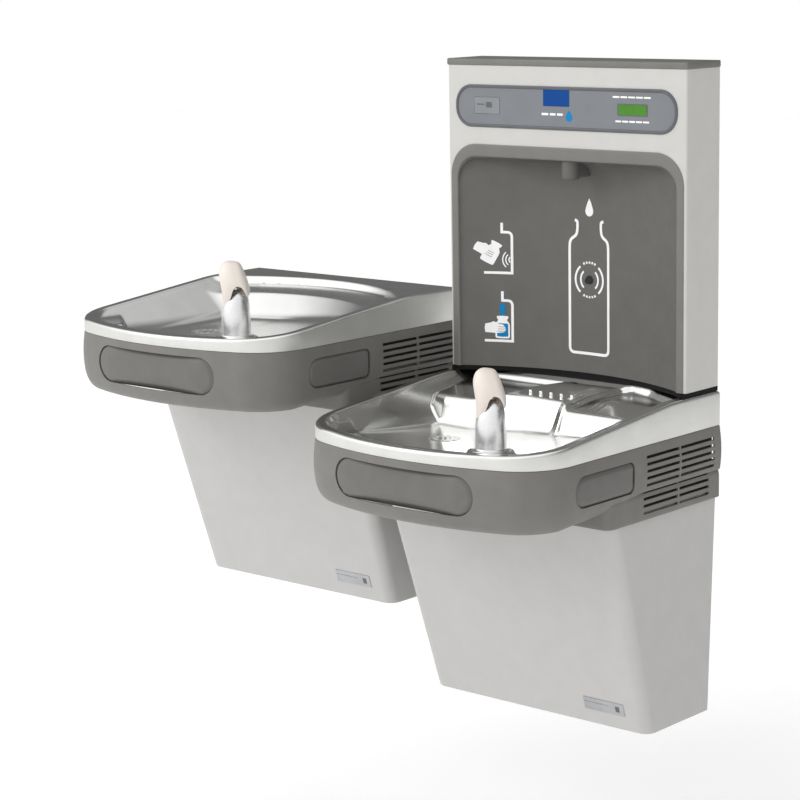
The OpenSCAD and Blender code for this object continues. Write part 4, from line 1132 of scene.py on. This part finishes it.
rim = sheet(PLATE_STEPS, len(rim_rings) - 1, plate_place, LOW, inner=(0, 300, PLATE_Z), wall=0.8)
# The rim's dark grey is painted shade, for the shade at the edges of the recessed face
finished(rim, "nameplate_rim", "root", PLATE_RIM_SHADE, smooth=50, replaces=["filler_nameplate"])
face = prism(rounded_rect(-209, 209, PLATE_Z - 29, PLATE_Z + 29, 27, 20), CASE_Y - 0.7, CASE_Y + 0.6, LOW)
finished(face, "nameplate_face", "root", PLATE_FACE, smooth=30, replaces=["filler_face"])


def inlay(name, outline, proud, material, replaces=()):
    """A flat printed or fitted shape on the nameplate."""
    return finished(prism(outline, CASE_Y - proud, CASE_Y - 0.65, LOW), name, "root", material,
                    smooth=30, replaces=replaces)


inlay("small_label_edge", rounded_rect(-176, -124.5, 934, 961, 1.2), 0.9, SMOKED_FILM_AND_INSET_SHADE)
inlay("small_label", rounded_rect(-175.2, -125.3, 934.8, 960.2, 0.9), 1.0, LABEL)
inlay("small_label_mark", rounded_rect(-152, -140, 944, 953, 2.0), 1.1, SMOKED_FILM_AND_INSET_SHADE)
inlay("small_label_rule", rounded_rect(-171, -155, 948, 950, 0.5), 1.1, SMOKED_FILM_AND_INSET_SHADE)
inlay("blue_panel", rounded_rect(-38, 12.6, 949.5, 975.2, 0.8), 0.95, BLUE_INK)
for i, (x0, x1) in enumerate(((-41, -28), (-25, -14), (-11, 0))):
    inlay(f"white_rule_{i}", rounded_rect(x0, x1, 935.5, 939, 0.8), 0.95, WHITE_INK)
mark_angle = np.linspace(0, 2 * math.pi, 28, endpoint=False)
mark_up = np.clip(np.sin(mark_angle), 0, 1)
inlay("pale_drop", np.column_stack([12 + 6.5 * np.cos(mark_angle) * (1 - mark_up) ** 0.4,
                                    933 + np.where(mark_up > 0, 11, 6.5) * np.sin(mark_angle)]),
      0.95, WATER_INK)
# A dark frame round the display window: painted shade, for the window's inset shadow
inlay("display_inset_shade", rounded_rect(103.5, 159.5, 938.6, 957.0, 1.6), 0.9, SMOKED_FILM_AND_INSET_SHADE)
inlay("display_glass", rounded_rect(106, 157.6, 940.3, 955.6, 0.8), 1.2, DISPLAY,
      replaces=["filler_display"])
for row, z, ends in (("upper", 965.6, (94, 166)), ("lower", 929.0, (99, 163))):
    stops = np.linspace(*ends, 6)
    for i, (x0, x1) in enumerate(zip(stops, stops[1:])):
        inlay(f"caption_{row}_{i}", rounded_rect(x0 + 1, x1 - 1, z, z + 2.6, 0.5), 0.95,
              WHITE_INK)


# ---------- printed marks on the alcove's back wall ----------

def on_wall(x, z, lift):
    """A point that stands a little off the alcove's back wall."""
    return x, back_y(x) - lift, z


def stroke(name, points, width, material=WHITE_INK, lift=0.45):
    """A printed line of one width that lies on the curved wall."""
    points = np.asarray(points, float)
    ahead = np.gradient(points, axis=0)
    ahead /= np.linalg.norm(ahead, axis=1)[:, None]
    normal = np.column_stack([-ahead[:, 1], ahead[:, 0]])

    def place(i, j):
        spot = points[i] + normal[i] * ((j - 0.5) * width)[:, None]
        return on_wall(spot[:, 0], spot[:, 1], lift)

    line = sheet(len(points) - 1, 1, place, LOW, inner=(0, 200, 700), wall=0.3)
    return finished(line, name, "root", material, smooth=30)


def patch(name, outline, material=WHITE_INK, lift=0.45):
    """A filled printed shape on the curved wall, drawn from its middle outwards."""
    outline = np.asarray(outline, float)
    middle = outline.mean(0)
    count, rows = len(outline), 6

    def place(i, j):
        spot = middle + (outline[i % count] - middle) * (j / rows)[:, None]
        return on_wall(spot[:, 0], spot[:, 1], lift)

    shape = sheet(count, rows, place, LOW, inner=(0, 200, 700), wall=0.3)
    return finished(shape, name, "root", material, smooth=30)


def round_chain(corners, r=6.0, count=7):
    """A chain of corners with each inner corner rounded."""
    corners = np.asarray(corners, float)
    points = [corners[0]]
    for a, b, c in zip(corners, corners[1:], corners[2:]):
        back = min(r, np.linalg.norm(a - b) / 2, np.linalg.norm(c - b) / 2)
        start = b + (a - b) / np.linalg.norm(a - b) * back
        end = b + (c - b) / np.linalg.norm(c - b) * back
        for t in np.linspace(0, 1, count):
            points.append((1 - t) ** 2 * start + 2 * t * (1 - t) * b + t * t * end)
    points.append(corners[-1])
    return np.array(points)


MARK_X = 4.6
SENSOR_MARK = (MARK_X, SENSOR_Z + 2)

# Open-necked bottle outline with a drop over its neck
half_bottle = [(0, 556), (38, 556), (38, 640), (38, 724), (37, 736), (25, 744), (23, 753), (23, 766),
               (28, 768)]
for side in (-1, 1):
    chain = round_chain([(side * x + MARK_X, z) for x, z in half_bottle], r=9)
    stroke(f"bottle_line_{'left' if side < 0 else 'right'}", chain, 4.6)
drop_angle = np.linspace(0, 2 * math.pi, 32, endpoint=False)
rising = np.clip(np.sin(drop_angle), 0, 1)
drop_x = MARK_X + 7.8 * np.cos(drop_angle) * (1 - rising) ** 0.5
drop_z = 783 + np.where(rising > 0, 20, 8.5) * np.sin(drop_angle)
patch("water_drop", np.column_stack([drop_x, drop_z]))

# Sensor: a dark lens between printed arcs, with ticks over and under it
for side, turn in (("right", 0.0), ("left", math.pi)):
    for tag, r, width in (("inner", 17.0, 3.0), ("outer", 27.0, 3.4)):
        arc = ring_points(*SENSOR_MARK, r, 18, turn - 0.85, turn + 0.85)
        stroke(f"sensor_arc_{tag}_{side}", arc, width)
for side, turn in (("upper", 0.5 * math.pi), ("lower", 1.5 * math.pi)):
    for i in range(5):
        a = turn + (i - 2) * 0.2
        tick = ring_points(*SENSOR_MARK, 27.5, 4, a - 0.055, a + 0.055)
        stroke(f"sensor_tick_{side}_{i}", tick, 3.6)
patch("sensor_eye", ring_points(*SENSOR_MARK, 7.0, 28)[:-1], LENS, lift=0.9)


def pictogram(tag, base_z, middle, tilt, filled):
    """A spout and bracket over a hand-held bottle, above a base line."""
    def spots(points):
        return np.asarray(points, float) + (-178.0, base_z)

    corner = round_chain([(28, 66), (44, 66), (44, 40)], r=9)
    stroke(f"{tag}_spout", spots([(28, 81), (28, 73), (28, 64)]), 4.2)
    stroke(f"{tag}_bracket", spots(np.vstack([corner, [(44, 20), (44, 0)]])), 4.2)
    stroke(f"{tag}_base", spots([(0, 0), (20, 0), (46.1, 0)]), 4.2)

    def leaned(points):
        x, z = rotated(*np.asarray(points, float).T, tilt)
        return spots(np.column_stack([middle[0] + x, middle[1] + z]))

    bottle_side = [(10, -18), (11.5, -16), (11.5, 0), (11, 6), (7.5, 10.5), (7, 13), (9, 14.5), (9, 18)]
    patch(f"{tag}_bottle", leaned([(-10, -18), (0, -18.5), *bottle_side, (0, 18.5),
                                   *[(-x, z) for x, z in bottle_side[:0:-1]]]), lift=0.42)
    if filled:
        fill_side = [(8, -15.5), (9, -14), (9, 4), (8, 6)]
        patch(f"{tag}_fill", leaned([(-8, -15.5), (0, -16), *fill_side, (0, 6),
                                     *[(-x, z) for x, z in fill_side[:0:-1]]]), WATER_INK, lift=0.5)
        stroke(f"{tag}_stream", spots([(middle[0], 61), (middle[0], 52), (middle[0], 42)]), 8.6, WATER_INK,
               lift=0.42)
    patch(f"{tag}_hand", leaned([(-27, -9), (-18, -9.5), (-8, -10), (2, -8.5), (5, -5), (4, 0), (1, 4),
                                 (-6, 5), (-11, 8), (-15, 9), (-18, 7), (-27, 5), (-28, -2)]), lift=0.62)
    for i in range(3):
        z = -6.5 + 3.6 * i
        stroke(f"{tag}_finger_{i}", leaned([(-8 + i, z), (-2 + i, z - 0.5), (4, z)]), 0.7, SMOKED_FILM_AND_INSET_SHADE, lift=0.9)
    if not filled:
        for i, r in enumerate((6, 11, 16)):
            centre = spots([(45, 21.5)])[0]
            stroke(f"{tag}_wave_{i}", ring_points(*centre, r, 12, 0.73 * math.pi, 1.27 * math.pi), 1.9)


pictogram("hold_sign", 677, (12, 33), -0.5, False)
pictogram("fill_sign", 566, (28, 22.5), 0.0, True)


# ---------- carried-over nodes ----------

CARRIED = {
    "frame": GALVANISED, "hanger": GALVANISED, "regulator": BRASS, "supply_tube": TUBE, "drain_trap": PIPE,
    "compressor": BLACK_PAINT, "condenser": ALUMINIUM, "fan_shroud": GALVANISED, "fan_motor": BLACK_PAINT,
    "fan": ALUMINIUM, "cooling_tank": FOAM, "cold_line": COPPER, "power_gland": BLACK_RUBBER_AND_HOLE_SHADE,
    "filter_head": FILTER_HEAD, "filter_cartridge": FILTER_SHELL, "filler_board": BOARD,
    "filler_sensor": LENS, "filler_gasket": BLACK_RUBBER_AND_HOLE_SHADE, "filler_bracket": GALVANISED, "filler_valve": COIL,
    "filler_tube": TUBE,
}
for name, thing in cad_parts.items():
    short = name.split("_", 1)[1] if name.startswith(("low_", "high_")) else name
    if short in CARRIED:
        for held in thing.material_slots:
            held.material = CARRIED[short]


# ---------- stage, light and camera ----------

deselect()
# The floor lies well below the low cabinet, as under a wall-hung unit
FLOOR_DROP = 0.29
bpy.ops.mesh.primitive_plane_add(size=30, location=(0, 0, LOW[2] * MM - FLOOR_DROP))
floor = bpy.context.active_object
floor.name = "studio_floor"
floor_skin, floor_tree, floor_body = blank("studio_floor_paper", Roughness=0.9)
paper = grain(floor_tree, 400)
floor_tree.links.new(between(floor_tree, paper, grey(0.93), grey(0.95)), floor_body.inputs["Base Color"])
floor_body.inputs["Emission Color"].default_value = grey(1.0)
floor_body.inputs["Emission Strength"].default_value = 0.3
floor.data.materials.append(floor_skin)

world = bpy.data.worlds.new("soft_studio")
bpy.context.scene.world = world
world.use_nodes = True
sky = world.node_tree
sky.nodes.clear()
aim = add(sky, "ShaderNodeTexCoord").outputs["Generated"]
split = add(sky, "ShaderNodeSeparateXYZ", {"Vector": aim})
# Behind the object it is dark near the horizon and brighter overhead
back = add(sky, "ShaderNodeValToRGB", {"Fac": split.outputs["Z"]})
back.color_ramp.elements[0].position = 0.0
back.color_ramp.elements[0].color = grey(0.3)
back.color_ramp.elements[1].position = 1.0
back.color_ramp.elements[1].color = grey(1.0)
for height, tone in ((0.08, 0.14), (0.3, 0.14), (0.5, 0.15), (0.7, 0.18), (0.85, 0.7)):
    stop = back.color_ramp.elements.new(height)
    stop.color = grey(tone)
ahead = add(sky, "ShaderNodeMapRange", {
    "Value": split.outputs["Y"], "From Min": -0.15, "From Max": 0.3, "To Min": 0.0, "To Max": 1.0})
behind = add(sky, "ShaderNodeBackground", {"Color": back.outputs[0], "Strength": 1.0})
# The user's side is bright, and a little dimmer towards the right
side_fall = add(sky, "ShaderNodeValToRGB", {"Fac": split.outputs["X"]})
side_fall.color_ramp.elements[0].position = 0.1
side_fall.color_ramp.elements[0].color = grey(1.0)
side_fall.color_ramp.elements[1].position = 0.95
side_fall.color_ramp.elements[1].color = grey(0.78)
before = add(sky, "ShaderNodeBackground", {"Color": side_fall.outputs[0], "Strength": 1.13})
round_about = add(sky, "ShaderNodeMixShader", {"Fac": ahead.outputs[0]})
sky.links.new(before.outputs[0], round_about.inputs[1])
sky.links.new(behind.outputs[0], round_about.inputs[2])
plain = add(sky, "ShaderNodeBackground", {"Color": grey(1.0), "Strength": 1.0})
seen = add(sky, "ShaderNodeMixShader", {"Fac": add(sky, "ShaderNodeLightPath").outputs["Is Camera Ray"]})
sky.links.new(round_about.outputs[0], seen.inputs[1])
sky.links.new(plain.outputs[0], seen.inputs[2])
add(sky, "ShaderNodeOutputWorld", {"Surface": seen.outputs[0]})


def softbox(name, place, target, size, power):
    """A large soft area light aimed at a point."""
    lamp = bpy.data.lights.new(name, "AREA")
    lamp.shape = "RECTANGLE"
    lamp.size, lamp.size_y = size
    lamp.energy = power
    holder = bpy.data.objects.new(name, lamp)
    bpy.context.scene.collection.objects.link(holder)
    holder.location = place
    holder.rotation_euler = (Vector(target) - Vector(place)).to_track_quat("-Z", "Y").to_euler()


softbox("front_left_softbox", (-2.6, -3.2, 2.2), (-0.1, -0.3, 0.1), (1.8, 1.8), 40)

camera = bpy.data.cameras.new("camera")
camera.sensor_width = 36.0
camera.lens = 106.64
camera.clip_end = 60.0
eye = bpy.data.objects.new("camera", camera)
bpy.context.scene.collection.objects.link(eye)
# The camera stands ahead of the object's right side and looks down at it a little
EYE_AT = (2.2307, -3.0122, 0.7513)
YAW, PITCH, ROLL = 0.722, 0.185, -0.018
forward = Vector((-math.sin(YAW) * math.cos(PITCH), math.cos(YAW) * math.cos(PITCH), -math.sin(PITCH)))
level = Vector((math.cos(YAW), math.sin(YAW), 0.0))
upward = level.cross(forward)
right = level * math.cos(ROLL) + upward * math.sin(ROLL)
top = upward * math.cos(ROLL) - level * math.sin(ROLL)
turn_eye = Matrix((right, top, -forward)).transposed().to_4x4()
eye.matrix_world = Matrix.Translation(EYE_AT) @ turn_eye
bpy.context.scene.camera = eye
bpy.context.scene.view_settings.view_transform = "Standard"
